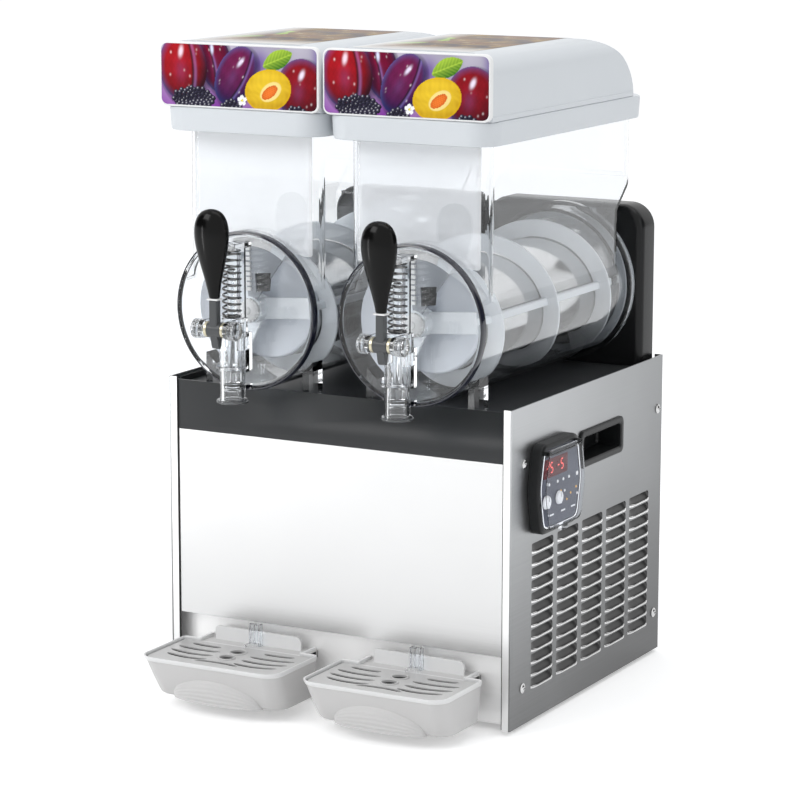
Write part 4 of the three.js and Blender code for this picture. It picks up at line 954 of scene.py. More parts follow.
def dials():
    back = HOUSING_FRONT + GAP
    for node in ("dial_front", "dial_rear"):
        low, high = span(node)
        y, z = (low.y + high.y) / 2, DIAL_Z
        profile = [(0, back - 4.5), (3, back - 4.5), (3, back), (6.2, back), (6.9, back + 0.3),
                   (7, back + 1.0), (6.4, back + 2.6), (5.9, back + 3.0), (0, back + 3.1)]
        knob = turned(profile, "x", (y, z), 64)
        rib = soft_block(0.35, 3, back + 2.4, back + 3.8, y - 1.1, y + 1.1, z - 6, z + 6)
        publish(fused(knob, rib), f"{node}_knob", "dial_white", node, [node])
        mark = block(back + 3.8, back + 3.85, y - 0.35, y + 0.35, z + 1, z + 5.6)
        publish(mark, f"{node}_mark", "soft_rubber", node, slot="slate_blue")


def control_cover():
    """A clear shallow cover hung from a barrel at its top edge, with a latch tab at the bottom."""
    low, high = span("control_cover")
    back = HOUSING_FRONT + GAP
    front = back + 6.3
    wall = 1.8
    middle = CONTROL["y"]
    hinge_x, hinge_z = high.x - 2.2, high.z - 2.2
    outer = control_skin((back, 5, 10), (front - 1.6, 5, 10), (front - 0.5, 5.5, 9.6), (front, 6.8, 9))
    inner = control_skin((back - 1, 5 + wall, 9), (front - wall, 5 + wall, 9))
    shell = carved(carved(outer, inner), block(back - 2, front + 2, 20, 160, hinge_z - 1.0, 300))
    barrel = rod("y", 2.2, middle - 35, middle + 35, (hinge_x, hinge_z), 32)
    pins = rod("y", 1.2, middle - 40, middle + 40, (hinge_x, hinge_z), 24)
    latch = soft_block(0.8, 3, back, front, middle - 5, middle + 5, low.z, low.z + 6.6)
    publish(fused(shell, barrel, pins, latch), "control_cover_window", "cover_tint", "cover",
            ["control_cover"], "clear_plastic")


# ------------------------------------------------------------------ bowl


def barrel_solid(radius, front, corner, rear):
    """A round barrel on the bowl's axis. rear ends its outline with points of radius and y."""
    profile = [(0, front)] + fillet(radius - corner, front + corner, corner, 270, 360) + rear
    return moved(turned(profile, "y", segments=144), z=BARREL_Z)


def tank_solid(inset, top, corner):
    half, front, rear = TANK["half"] - inset, TANK["front"] + inset, TANK["rear"] - inset
    waist = TANK["waist"] - inset
    plan = prism(rounded(-half, half, front, rear, corner, 10), "z", BARREL_Z, top)
    side = [(front - 5, BARREL_Z - 1), (waist, BARREL_Z - 1), (waist, TANK["low"] - 4),
            (waist + 1, TANK["low"]), (rear - 3, TANK["high"] - 3), (rear, TANK["high"] + 2),
            (rear + 5, TANK["high"] + 3), (rear + 5, top + 5), (front - 5, top + 5)]
    return shared(plan, prism(side, "x", -half - 5, half + 5))


def spout():
    """The tap's housing in front of the bowl, with its flanges, its ears and the web behind it."""
    web_y = BARREL_FRONT + 1
    pieces = [rod("z", 13, 318, 388, (0, TAP_Y))]
    for z in (318, 353):
        flange = [(0, z), (16, z), (16.5, z + 0.6), (16.5, z + 2.6), (16, z + 3), (0, z + 3)]
        pieces.append(turned(flange, "z", (0, TAP_Y), 64))
    pieces += [
        block(-9, 9, TAP_Y, web_y, 330, 388),
        prism(rounded(-9, 9, TAP_Y - 12, web_y, (6, 6, 0.1, 0.1), 8), "z", 475.3, 480.3),
        block(-2, 2, TAP_Y + 13.5, web_y, 387, 476),
    ]
    y, z = PIVOT
    ear = [(TAP_Y + 4, z - 9), (TAP_Y + 4, z + 9)] + fillet(y, z, 9, 90, 270, 16)
    for side in (-1, 1):
        pieces.append(prism(ear, "x", *sorted((side * 12, side * 16))))
        pieces.append(block(*sorted((0, side * 16)), TAP_Y - 8, TAP_Y + 8, z - 24, 386))
    return pieces


def bowl():
    """The clear bowl in one piece: its barrel, tank, feet and spout, all hollow."""
    rear = TOWER_FACE
    flange = [(BARREL_RADIUS, rear - 9), (86, rear - 9), (87, rear - 8), (87, rear), (0, rear)]
    outer = barrel_solid(BARREL_RADIUS, BARREL_FRONT, 3.5, flange)
    foot_blocks = [block(x - 6, x + 6, 8, 28, UNIT_FOOT, BARREL_Z - 52) for x in (-58, 58)]
    whole = fused(outer, tank_solid(0, TANK["top"], 14), *foot_blocks, *spout())
    inside = BARREL_RADIUS - BOWL_WALL
    bore = barrel_solid(inside, BARREL_FRONT + 4, 3, [(inside, rear + 1), (0, rear + 1)])
    cuts = [
        fused(bore, tank_solid(BOWL_WALL, TANK["top"] + 2, 11)),
        rod("z", 9.5, 317, 389, (0, TAP_Y)),
        block(-5, 5, TAP_Y, BARREL_FRONT + 5, 334, 347),
        rod("x", 3.3, -30, 30, PIVOT, 24),
        block(-12, 12, PIVOT[0] - 10, TAP_Y + 20, 388, PIVOT[1] + 10),
    ]
    publish_pair(softened(carved(whole, *cuts), 0.5, 2, 50), "bowl_moulding", "clear_plastic", "cabinet",
                 ["bowl"])


def pane_sheen():
    """A painted reflection: a half-clear white sheet on the tank's front pane above the barrel, standing for
    the soft white sheen there.
    """
    face = TANK["front"] + BOWL_WALL
    sheet = prism(rounded(-69, 69, BARREL_Z + 58, 590, 3), "y", face + 0.1, face + 0.25)
    publish_pair(sheet, "tank_front_sheen", "pane_sheen", "cabinet", slot="clear_plastic")


def rim_ring():
    """The thick rim round the bowl's front face, polished and painted nearly black: painted shade for the
    dark edge that the clear plastic shows there.
    """
    section = [(-2.6, -0.02), (-2.2, -0.25), (-1.0, 0.2), (0.05, 2.2), (0.05, 7.6), (-0.05, 7.7),
               (-0.6, 2.4), (-2.6, -0.02)]
    ring = turned([(BARREL_RADIUS + out, BARREL_FRONT + back) for out, back in section], "y", segments=144)
    publish_pair(moved(ring, z=BARREL_Z), "bowl_rim", "rim_shade", "cabinet", slot="clear_plastic")


def gasket():
    rear = TOWER_FACE
    ring = turned([(70.3, rear - 7), (71, rear - 7.6), (78, rear - 7.6), (78.7, rear - 7), (78.7, rear),
                   (70.3, rear), (70.3, rear - 7)], "y", segments=96)
    publish_pair(moved(ring, z=BARREL_Z), "bowl_gasket_ring", "clear_rubber", "cabinet", ["bowl_gasket"])


def evaporator():
    """The steel drum, with a pale cap on its front."""
    rear, radius = TOWER_FACE, EVAPORATOR_RADIUS
    cap_end = 32.5
    profile = [(7.5, 28)] + fillet(radius - 4, 32, 4, 270, 360) + [
        (radius, 100), (radius, 200), (radius, rear - 3), (70, rear - 3), (70, rear), (52, rear), (52, 32),
        (7.5, 32), (7.5, 28)]
    drum = moved(turned(profile, "y", segments=128), z=BARREL_Z)
    mesh = drum.data
    for finish in ("mirror_steel", "cap_grey"):
        mesh.materials.append(MATERIALS[finish])
    for face in mesh.polygons:
        if max(mesh.vertices[i].co.y for i in face.vertices) < cap_end:
            face.material_index = 1
    publish_pair(drum, "evaporator_drum", "mirror_steel", "cabinet", ["evaporator"])


# ------------------------------------------------------------------ auger

AUGER_PITCH = 127
AUGER_RIGHT_Y = 291
AUGER_ANGLES = (-76, 785)
ARM = {"from": 54, "to": 97, "front": -8, "thickness": 3}


def blade_y(angle):
    return AUGER_RIGHT_Y - AUGER_PITCH * angle / 360


def auger_blade():
    """The helical scraping blade: thick at its root and rounded at its outer edge."""
    inner, outer = EVAPORATOR_RADIUS + 1, AUGER_RADIUS
    section = [(inner, -2), (outer - 1.6, -1.7), (outer - 0.5, -1.2), (outer, 0), (outer - 0.5, 1.2),
               (outer - 1.6, 1.7), (inner, 2)]
    steps = 260
    rings = []
    for k in range(steps + 1):
        angle = AUGER_ANGLES[0] + (AUGER_ANGLES[1] - AUGER_ANGLES[0]) * k / steps
        turn = math.radians(angle)
        rings.append([(r * math.cos(turn), blade_y(angle) + y, r * math.sin(turn)) for r, y in section])
    return loft(rings)


def wedge(inner, outer, start, end, y0, y1, steps=14):
    outline = fillet(0, 0, outer, start, end, steps) + fillet(0, 0, inner, end, start, steps)
    return prism(outline, "y", y0, y1)


def auger():
    """The helix with its three bars and spokes, the hub and the foot of the front arm."""
    inner = EVAPORATOR_RADIUS + 1
    plate_front = ARM["front"] + 13
    plate_rear = plate_front + ARM["thickness"]
    rear = blade_y(AUGER_ANGLES[0]) + 2
    pieces = []
    for index in range(3):
        turn = -(index * 120 + 4)
        bar = soft_block(1.2, 3, inner, inner + 6, plate_front, rear, -4, 4)
        pieces.append(spun(bar, "Y", turn))
        spoke = soft_block(0.8, 2, 0.5, inner + 6, plate_front, plate_rear, -11, 11)
        pieces.append(spun(spoke, "Y", turn))
    pieces.append(wedge(AUGER_RADIUS - 9, AUGER_RADIUS, ARM["from"], ARM["from"] + 14, ARM["front"],
                        blade_y(AUGER_ANGLES[1]) + 2))
    pieces.append(rod("y", 14, ARM["front"], plate_rear + 6, (0, 0), 64))
    whole = fused(auger_blade(), *pieces)
    bore = rod("y", 6.3, ARM["front"] - 1, plate_rear + 7, (0, 0), 32)
    whole = softened(carved(whole, bore), 0.4, 2, 45)
    publish_pair(moved(whole, z=BARREL_Z), "auger_blade", "auger_white", "auger", ["auger"])


def auger_arm():
    """The smoky plate of the auger's front arm, with its window, a dark sheet of painted shade in the window,
    and its pale tip.
    """
    front, back = ARM["front"], ARM["front"] + ARM["thickness"]
    plate = wedge(14.2, AUGER_RADIUS - 9.2, ARM["from"], ARM["to"], front, back)
    corners = [(8, 19), (23, 21), (25, 40), (7, 38)]
    plate = carved(plate, prism(corners, "y", front - 1, back + 1))
    # Painted shade: a dark sheet in the arm's window stands for the shade seen through it.
    pane = prism([(x * 0.99 + 0.15, z * 0.99 + 0.3) for x, z in corners], "y", front + 1.6, back - 0.4)
    tip = wedge(AUGER_RADIUS - 9, AUGER_RADIUS, ARM["from"] + 14.2, ARM["to"] + 8, front, back)
    for piece, name, finish in ((pane, "auger_arm_pane", "pane_smoke"),
                                (softened(plate, 0.5, 2), "auger_arm", "arm_smoke"),
                                (softened(tip, 0.6, 2), "auger_arm_tip", "auger_tip")):
        publish_pair(moved(piece, z=BARREL_Z), name, finish, "auger", slot="auger_white")


def auger_wing():
    """The pale wing that fills the side of the auger's front away from its arm, with three short ribs."""
    front = ARM["front"] + 13.4
    plate = softened(wedge(13, AUGER_RADIUS - 7, 118, 234, front, front + 2.2, 28), 0.6, 2)
    rib = soft_block(0.3, 2, -7, 7, -1.2, 0.4, -0.7, 0.7)
    ribs = spun(grown(ROW, "wing_grey", Part=rib, Count=3, Step=(1.4, 0, 4.4)), "Y", -14)
    wing = gathered(plate, moved(ribs, -44, front, 34))
    publish_pair(moved(wing, z=BARREL_Z), "auger_wing", "wing_grey", "auger", slot="auger_white")


def auger_teeth():
    """The row of short ribs along the straight edge of the auger's front arm."""
    tooth = soft_block(0.5, 2, -3.4, 3.4, -3.0, 0, -1.7, 1.7)
    row = moved(grown(ROW, "auger_tip", Part=tooth, Count=10, Step=(0, 0, 5.2)), 0, ARM["front"] + 0.2, 22)
    spun(row, "Y", 90 - (ARM["to"] - 5.5))
    publish_pair(moved(row, z=BARREL_Z), "auger_teeth", "auger_tip", "auger", slot="auger_white")


def auger_fittings():
    """The drive shaft, and the hub nut with a ribbed edge."""
    shaft = rod("y", 6, -10, 346, (0, BARREL_Z), 48)
    publish_pair(softened(shaft, 0.6, 2, 50), "drive_shaft_bar", "spring_steel", "auger", ["drive_shaft"],
                 "bright_steel")
    rear = ARM["front"] - GAP
    cap = turned([(0, -14), (3.5, -14), (4.2, -13.2), (8.6, -13.2), (10.6, -12.6), (12, -11), (12, rear),
                  (0, rear)], "y", segments=64)
    cap = carved(cap, rod("y", 6.3, -10.3, rear + 1, (0, 0), 32))
    rib = soft_block(0.3, 2, -2, 2, -0.9, 0.9, -0.9, 0.9)
    ribs = spun(grown(RING, "auger_tip", Part=rib, Count=18, Radius=11.6), "Z", 90)
    nut = gathered(cap, moved(ribs, 0, rear - 2.1, 0))
    publish_pair(moved(nut, z=BARREL_Z), "auger_nut_cap", "auger_tip", "auger", ["auger_nut"], "auger_white")


# ------------------------------------------------------------------ rear tower


def tower():
    """The rounded shell behind a bowl, hollow for its gear motor."""
    bottom, top, half = UNIT_FOOT, 495, 95

    def arch(inset, corner, foot, low):
        return rounded(-half + inset, half - inset, low, top - inset, (foot, foot, corner, corner), 12)

    rows = [(330, 8, 18), (330.35, 5.6, 20), (331.6, 3.2, 22.5), (334, 1.1, 25), (338, 0, 26),
            (361.5, 0, 26), (363.3, 0.7, 25.4), (364, 2.4, 24)]
    shell = skin("y", [(y, arch(inset, corner, 0.5, bottom)) for y, inset, corner in rows])
    hollow = [
        prism(arch(2.5, 23.5, 0.1, bottom - 1), "y", 339, 361.5),
        prism(arch(12, 14, 0.1, bottom - 1), "y", 332.5, 340),
        rod("y", 52, 329, 333.5, (0, BARREL_Z), 96),
    ]
    publish_pair(carved(shell, *hollow), "rear_tower_shell", "tower_plastic", "cabinet", ["rear_tower"],
                 "dark_plastic")


# ------------------------------------------------------------------ lid and hood


def lid():
    half, front, rear = LID["half"], LID["front"], LID["rear"]
    bottom, top, wall = LID["bottom"], LID["top"], LID["wall"]

    def plan(inset):
        return rounded(-half + inset, half - inset, front + inset, rear - inset,
                       max(LID["corner"] - inset, 2), 12)

    def lid_skin(*rows):
        return skin("z", [(z, plan(inset)) for z, inset in rows])

    def seat(reach, z0, z1):
        return prism(rounded(-TANK["half"] - reach, TANK["half"] + reach, TANK["front"] - reach,
                             TANK["rear"] + reach, 14 + reach, 10), "z", z0, z1)

    outer = lid_skin((bottom, 2.2), (bottom + 0.4, 1.6), (bottom + 1.6, 1.3), (top - 3.5, 0), (top - 1, 0.5),
                     (top - 0.2, 1.6), (top, 3.2))
    shell = carved(outer, lid_skin((bottom - 1, wall + 1.5), (top - wall, wall)))
    ledge = carved(seat(3, TANK["top"] + GAP, top - 1), seat(-5, TANK["top"], top - wall))
    publish_pair(softened(fused(shell, ledge), 0.4, 2, 60), "lid_cover", "pale_grey", "lid", ["lid"])


def hood_solid(inset):
    """The hood's outside, or with an inset the space inside it."""
    bottom = LID["top"] + GAP - (1 if inset else 0)
    top = HOOD["top"] - inset
    corner = HOOD["shoulder"] - inset
    half = HOOD["half"] - inset
    front, curve, rear = HOOD["front"] + inset, HOOD["curve"], HOOD["rear"] - inset
    arch = rounded(-half, half, bottom, top, (0.01, 0.01, corner, corner), 14)
    side = [(front, bottom - 2), (rear, bottom - 2)]
    for k in range(33):
        angle = math.radians(90 * k / 32)
        side.append((curve + (rear - curve) * math.cos(angle), bottom + (top - bottom) * math.sin(angle)))
    side += [(curve - 0.01, top), (front, top)]
    return shared(prism(arch, "y", front, rear), prism(side, "x", -half - 5, half + 5))


def hood():
    half, seat = HOOD["half"], LID["top"]
    shell = carved(hood_solid(0), hood_solid(HOOD["wall"]))
    publish_pair(softened(shell, 1.2, 3, 40), "hood_shell", "pale_grey", "lid", ["hood"])
    skirt = prism(rounded(-half - 0.9, half + 0.9, -21, 309, (1, 1, 6, 6), 6), "z", seat + 0.1, seat + 5)
    inner = prism(rounded(-half + 1, half - 1, -25, 307, (1, 1, 5, 5), 6), "z", seat - 1, seat + 6)
    publish_pair(softened(carved(skirt, inner), 0.6, 3), "hood_foot", "pale_grey", "lid")


# ------------------------------------------------------------------ fruit print

GOLDEN_ANGLE = 2.399963


def blob(u, v, cx, cy, rx, ry, tilt=0.0):
    """A tilted ellipse: what lies in it, its own two directions (1 at its edge) and its rounded height."""
    a = math.radians(tilt)
    du, dv = u - cx, v - cy
    p = (du * math.cos(a) + dv * math.sin(a)) / rx
    q = (-du * math.sin(a) + dv * math.cos(a)) / ry
    square = p * p + q * q
    return square < 1, p, q, np.sqrt(np.clip(1 - square, 0, 1))


def lay(canvas, mask, colour, share=1.0):
    """Lays a colour over the canvas where a mask of 0 to 1 lets it through."""
    weight = (mask * share)[..., None]
    canvas[:] = canvas * (1 - weight) + np.asarray(colour) * weight


def blend(first, second, share):
    """Runs from the first colour to the second while a share runs from 0 to 1."""
    share = share[..., None]
    return np.asarray(first) * (1 - share) + np.asarray(second) * share


def spot(p, q, x, y, width, height):
    """A soft round spot: 1 at its middle, fading out."""
    return np.exp(-(((p - x) / width) ** 2 + ((q - y) / height) ** 2))


def fruit(canvas, u, v, place, dark, body, light, groove=None, haze=0.55):
    """One glossy plum: shaded at its edge, with a bluish bloom, a window highlight and an optional groove."""
    cx, cy, rx, ry, tilt = place
    shadow, _, _, depth = blob(u, v, cx + 0.05, cy - 0.05, rx * 1.12, ry * 1.12, tilt)
    lay(canvas, np.clip(depth * 1.6, 0, 1) * shadow, (0.01, 0.0, 0.02), 0.75)
    mask, p, q, depth = blob(u, v, *place)
    lit = np.clip(0.05 + 0.62 * depth + 0.55 * (0.6 * q - 0.3 * p), 0, 1) ** 1.25
    mottled = 0.12 * np.sin(11 * p + 7 * q) * np.sin(9 * q - 8 * p) + 0.06 * np.sin(37 * p) * np.sin(29 * q)
    colour = blend(dark, body, lit) * (1 + mottled[..., None])
    bloom = np.clip(1 - depth * 1.5, 0, 1) * np.clip(0.55 - 0.5 * p + 0.35 * q, 0, 1)
    lay(colour, bloom + 0.22 * spot(p, q, -0.1, -0.1, 0.22, 0.3), (0.13, 0.17, 0.52), haze)
    if groove is not None:
        bent = p - groove + 0.25 * q * q
        line = np.exp(-(bent / 0.05) ** 2)[..., None]
        ridge = np.exp(-((bent - 0.10) / 0.06) ** 2)[..., None]
        colour = colour * (1 - 0.8 * line) + np.array((0.08, 0.08, 0.21)) * ridge
    window = np.exp(-(((p + 0.16 - 0.25 * q) / 0.10) ** 2 + ((q - 0.46) / 0.17) ** 2) ** 1.6)
    lay(colour, window, light)
    for k in range(7):
        x, y = 0.62 * math.sin(5.1 * k + 3 * cx), 0.55 * math.cos(3.7 * k + 2 * cx)
        colour = colour + (0.18 + 0.16 * (k % 4)) * spot(p, q, x, y, 0.03, 0.035)[..., None]
    lay(canvas, mask * np.clip(depth * 9, 0, 1), colour)


def berries(canvas, u, v, cx, cy, rx, ry, count):
    """A heap of dark berries made of small round beads."""
    for k in range(count):
        angle = GOLDEN_ANGLE * k
        reach = math.sqrt((k + 0.5) / count)
        x, y = cx + rx * reach * math.cos(angle), cy + ry * reach * math.sin(angle)
        mask, p, q, depth = blob(u, v, x, y, 0.042, 0.042)
        lit = np.clip(0.5 * depth + 0.5 * (q - p) * 0.6, 0, 1)
        colour = blend((0.003, 0.002, 0.008), (0.05, 0.045, 0.09), lit)
        colour += 0.75 * spot(p, q, -0.3, 0.35, 0.22, 0.2)[..., None]
        lay(canvas, mask, colour)


def leaf(canvas, u, v, cx, cy, length, width, tilt):
    _, p, q, _ = blob(u, v, cx, cy, length, width, tilt)
    inside = (np.abs(p) < 1) & (np.abs(q) < np.clip(1 - p * p, 0, 1) ** 0.8)
    vein = np.exp(-((q + 0.1 * p) / 0.07) ** 2)
    ribs = 0.25 * np.cos(26 * (p - 0.5 * np.abs(q)))
    tone = np.clip(0.5 + 0.45 * q + ribs * 0.5 + 0.5 * vein, 0, 1)
    lay(canvas, inside, blend((0.03, 0.16, 0.01), (0.42, 0.62, 0.06), tone))


def apricot(canvas, u, v, cx, cy, rx, ry):
    """A halved yellow fruit with its stone."""
    mask, p, q, depth = blob(u, v, cx, cy, rx, ry, 14)
    flesh = 0.07 * np.sin(23 * p + 9 * q + 3 * np.sin(5 * q)) * np.cos(7 * p - 3 * q)
    flesh += 0.06 * np.sin(11 * q + 4 * p)
    lit = np.clip(np.clip(0.35 + 0.5 * depth + 0.25 * q, 0, 1) + flesh, 0, 1)
    colour = blend((0.42, 0.20, 0.0), (0.86, 0.58, 0.03), lit)
    lay(colour, np.exp(-((depth - 0.25) / 0.14) ** 2), (0.85, 0.52, 0.0), 0.45)
    lay(canvas, mask, colour)
    hollow, _, _, depth = blob(u, v, cx + 0.05, cy - 0.02, 0.22, 0.14, 32)
    lay(canvas, hollow * np.clip(depth * 3, 0, 1), (0.95, 0.78, 0.32), 0.8)
    stone, p, q, depth = blob(u, v, cx + 0.03, cy - 0.03, 0.17, 0.085, 34)
    lit = np.clip(0.3 + 0.6 * depth + 0.35 * np.sin(26 * p + 9 * q) * np.cos(21 * q), 0, 1)
    lay(canvas, stone, blend((0.42, 0.03, 0.0), (0.92, 0.22, 0.03), lit))


def blossom(canvas, u, v, cx, cy, size):
    """Five pale petals round a yellow middle."""
    for k in range(5):
        angle = math.radians(72 * k + 20)
        petal = (cx + size * math.cos(angle), cy + size * math.sin(angle), size * 0.62, size * 0.62)
        lay(canvas, blob(u, v, *petal)[0], (0.92, 0.92, 0.95))
    lay(canvas, blob(u, v, cx, cy, size * 0.4, size * 0.4)[0], (0.85, 0.75, 0.1))


def fruit_print(u, v):
    """Colours of the fruit picture; u runs from 0 across to the width in heights, v from 0 up to 1."""
    folds = 0.07 * np.sin(7 * u + 5 * v) * np.cos(4 * v - 3 * u)
    canvas = blend((0.25, 0.05, 0.36), (0.46, 0.43, 0.52), np.clip(v * 0.75 + 0.14 * u, 0, 1))
    canvas += folds[..., None]
    lay(canvas, spot(u, v, 1.86, 0.72, 0.22, 0.24), (0.09, 0.02, 0.28), 0.8)
    lay(canvas, np.exp(-((u - 2.96) / 0.10) ** 2), (0.10, 0.04, 0.30), 0.6)
    plums = [
        ((1.05, 0.72, 0.30, 0.50, 14), (0.015, 0.0, 0.02), (0.26, 0.0, 0.03), (0.75, 0.8, 1), -0.15),
        ((0.42, 0.62, 0.46, 0.56, 4), (0.03, 0.0, 0.006), (0.55, 0.006, 0.012), (1, 0.75, 0.85), 0.42),
        ((2.66, 0.34, 0.46, 0.50, -8), (0.025, 0.0, 0.006), (0.36, 0.004, 0.010), (0.9, 0.8, 0.95), None),
        ((1.42, 0.52, 0.34, 0.52, -30), (0.012, 0.004, 0.06), (0.22, 0.01, 0.07), (0.85, 0.75, 0.95), 0.46),
    ]
    for plum in plums:
        fruit(canvas, u, v, *plum)
    leaf(canvas, u, v, 2.22, 0.80, 0.30, 0.15, 24)
    apricot(canvas, u, v, 2.04, 0.30, 0.44, 0.34)
    for heap in ((0.62, 0.10, 0.40, 0.20, 80), (1.36, 0.02, 0.20, 0.09, 20), (2.58, -0.02, 0.18, 0.08, 16)):
        berries(canvas, u, v, *heap)
    blossom(canvas, u, v, 1.55, 0.12, 0.055)
    return np.clip(canvas, 0, 1)


def ripe_print(u, v):
    """The darker picture on the hood: amber fruit on brown, with a painted reflection that turns it pale
    towards the front and one side.
    """
    mottled = 0.015 * np.sin(9 * u + 3 * v) * np.cos(7 * v - 4 * u)
    canvas = np.array((0.040, 0.026, 0.012)) + mottled[..., None]
    for k in range(44):
        hue = (k * 0.29) % 1
        x, y = 2.4 * ((k * 0.7549) % 1), (k * 0.5698 + 0.05) % 1
        place = (x, y, 0.19 + 0.07 * hue, 0.15 + 0.05 * hue, 80 * hue)
        body = (0.36 - 0.16 * hue, 0.20 - 0.14 * hue, 0.012)
        fruit(canvas, u, v, place, (0.04, 0.016, 0.002), body, (0.5, 0.42, 0.2), haze=0.0)
        if k % 9 == 4:
            leaf(canvas, u, v, x + 0.12, y + 0.05, 0.2, 0.08, 200 * hue)
    # Painted reflection: the print turns pale grey towards the front and one side, where the hood's glancing
    # top mirrors the bright surroundings.
    pale = np.clip(np.maximum(1 - u / 0.42, (v - 0.74) / 0.26), 0, 1)
    lay(canvas, pale, (0.72, 0.72, 0.72))
    return np.clip(canvas, 0, 1)


def printed_sheet(name, columns, rows, place, aspect, draw):
    """A fine grid of faces whose corners carry the print's colours."""
    u, v = np.meshgrid(np.linspace(0, 1, columns), np.linspace(0, 1, rows))
    mesh = bpy.data.meshes.new(name)
    mesh.from_pydata([place(a, b) for a, b in zip(u.ravel(), v.ravel())], [], grid_faces(columns, rows))
    layer = mesh.color_attributes.new("Print", "FLOAT_COLOR", "POINT")
    colours = draw(u * aspect, v).reshape(-1, 3)
    opaque = np.concatenate([colours, np.ones((columns * rows, 1))], axis=1)
    layer.data.foreach_set("color", opaque.astype(np.float32).ravel())
    mesh.update()
    return in_scene(name, mesh)


def picture_panel():
    low, high = span("picture_panel_right")
    half = (high.x - low.x) / 2
    bottom, top, front, rear = low.z, high.z, low.y, high.y
    rows = []
    for y, inset in ((rear, 0.6), (rear - 0.6, 0), (front + 1.2, 0), (front + 0.5, 0.5), (front + 0.25, 1.2)):
        rows.append((y, rounded(-half + inset, half - inset, bottom + inset, top - inset,
                                8 - inset * 0.8, 10)))
    publish_pair(skin("y", rows), "picture_board", "picture_edge", "lid", ["picture_panel"], "pale_grey")
    border, corner = 2.0, 6.5
    width, height = 2 * (half - border), top - bottom - 2 * border

    def place(a, b):
        x, z = a * width - width / 2, b * height
        edge = min(z, height - z)
        if edge < corner:
            reach = width / 2 - corner + math.sqrt(max(corner ** 2 - (corner - edge) ** 2, 0))
            x = max(-reach, min(reach, x))
        return (x, front + 0.1, bottom + border + z)

    sheet = printed_sheet("print", 250, 92, place, width / height, fruit_print)
    publish_pair(sheet, "picture_film", "picture_print", "lid", smooth=180)


def hood_print():
    """The film that runs over the top of the hood from its front edge."""
    half = HOOD["half"] - 26
    start, end = HOOD["front"] + 4, HOOD["rear"] - 26
    base = LID["top"] + GAP
    reach = HOOD["rear"] - HOOD["curve"]

    def place(a, b):
        y = start + a * (end - start)
        z = HOOD["top"]
        if y > HOOD["curve"]:
            share = (y - HOOD["curve"]) / reach
            z = base + (HOOD["top"] - base) * math.sqrt(max(1 - share * share, 0))
        return (half - b * 2 * half, y, z + 0.12)

    sheet = printed_sheet("film", 220, 80, place, (end - start) / (2 * half), ripe_print)
    publish_pair(sheet, "hood_film", "picture_print", "lid", smooth=180)


# ------------------------------------------------------------------ tap


def ribbed_cap(side):
    """One ribbed end cap of the tap's pin."""
    inner, outer = 16.3, 26.0
    cap = turned([(0, inner), (8.6, inner), (9.2, inner + 0.6), (9.2, outer - 1.6), (8.0, outer - 0.4),
                  (5.5, outer), (3.5, outer - 0.8), (0, outer - 0.8)], "x", segments=64)
    rib = soft_block(0.3, 2, -4.0, 4.0, -0.7, 0.7, -0.8, 0.8)
    ribs = moved(grown(RING, "clear_plastic", Part=rib, Count=20, Radius=9.2), (inner + outer) / 2 - 0.4)
    return handed(gathered(cap, ribs), side)


def washer(side):
    """The dished brass washer beside one ear of the tap."""
    section = [(3.1, 7.9), (7.4, 7.9), (8, 8.4), (8, 11.0), (7.4, 11.6), (3.1, 11.6), (3.1, 7.9)]
    return handed(turned(section, "x", segments=48), side)


def tap_pin():
    publish_pair(rod("x", 3, -17.3, 17.3, PIVOT, 32), "tap_pin_rod", "grey_plastic", "cabinet", ["tap_pin"])
    for name, shape, finish, slot in (("tap_pin_caps", ribbed_cap, "clear_plastic", None),
                                      ("tap_washers", washer, "washer_brass", "grey_plastic")):
        ends = [moved(shape(side), 0, *PIVOT) for side in (-1, 1)]
        publish_pair(gathered(*ends), name, finish, "cabinet", slot=slot)


def handle_grip():
    """The paddle of the tap's handle: wide and rounded at the top, drawn in to a neck at its foot."""
    profile = [(430, 5.9, 4.6), (433, 6.2, 4.8), (440, 7.4, 5.4), (450, 9.8, 6.6), (460, 12.6, 8.1),
               (470, 15.4, 9.6), (480, 17.7, 10.8), (488, 19.0, 11.5), (496, 19.5, 11.7), (503, 18.9, 11.4),
               (509, 17.2, 10.6), (514, 14.2, 9.2), (517.4, 10.4, 7.2), (519.4, 5.6, 4.2), (520, 0.01, 0.01)]
    rings = []
    for z, half_x, half_y in profile:
        middle = PIVOT[0] - 3 - 4.5 * math.sin(math.pi * 0.62 * (z - 430) / 90)
        rings.append([(half_x * u, middle + half_y * v, z) for u, v in circle(1, segments=56)])
    foot = [(x * 0.86, y, 429.2) for x, y, z in rings[0]]
    grip = loft([foot] + rings)
    smooth = grip.modifiers.new("Smooth", "SUBSURF")
    smooth.levels = smooth.render_levels = 1
    return settled(grip)


def tap_handle():
    y, z = PIVOT
    publish_pair(handle_grip(), "tap_handle_grip", "gloss_black", "tap_handle", ["tap_handle"])
    collar = soft_block(0.5, 2, -6.4, 6.4, y - 8.2, y + 2.4, 427.6, 429.4)
    publish_pair(collar, "tap_handle_collar", "picture_edge", "tap_handle", slot="pale_grey")
    shank = soft_block(1.4, 3, -4.6, 4.6, y - 7, y + 1.6, z, 427.6)
    tail = prism([(y - 7, z), (y - 3, 381), (y - 1.5, 378), (y + 1.5, 378), (y + 3, 381), (y + 6, z)],
                 "x", -4, 4)
    tines = [block(*sorted((side * 5.2, side * 7.6)), y, TAP_Y + 2, 395, 398) for side in (-1, 1)]
    clevis = fused(shank, rod("x", 8, -7.6, 7.6, PIVOT, 48), tail, *tines)
    clevis = carved(clevis, rod("x", 3.3, -10, 10, PIVOT, 32))
    publish_pair(softened(clevis, 0.5, 2, 45), "tap_clevis", "shank_grey", "tap_handle", slot="grey_plastic")


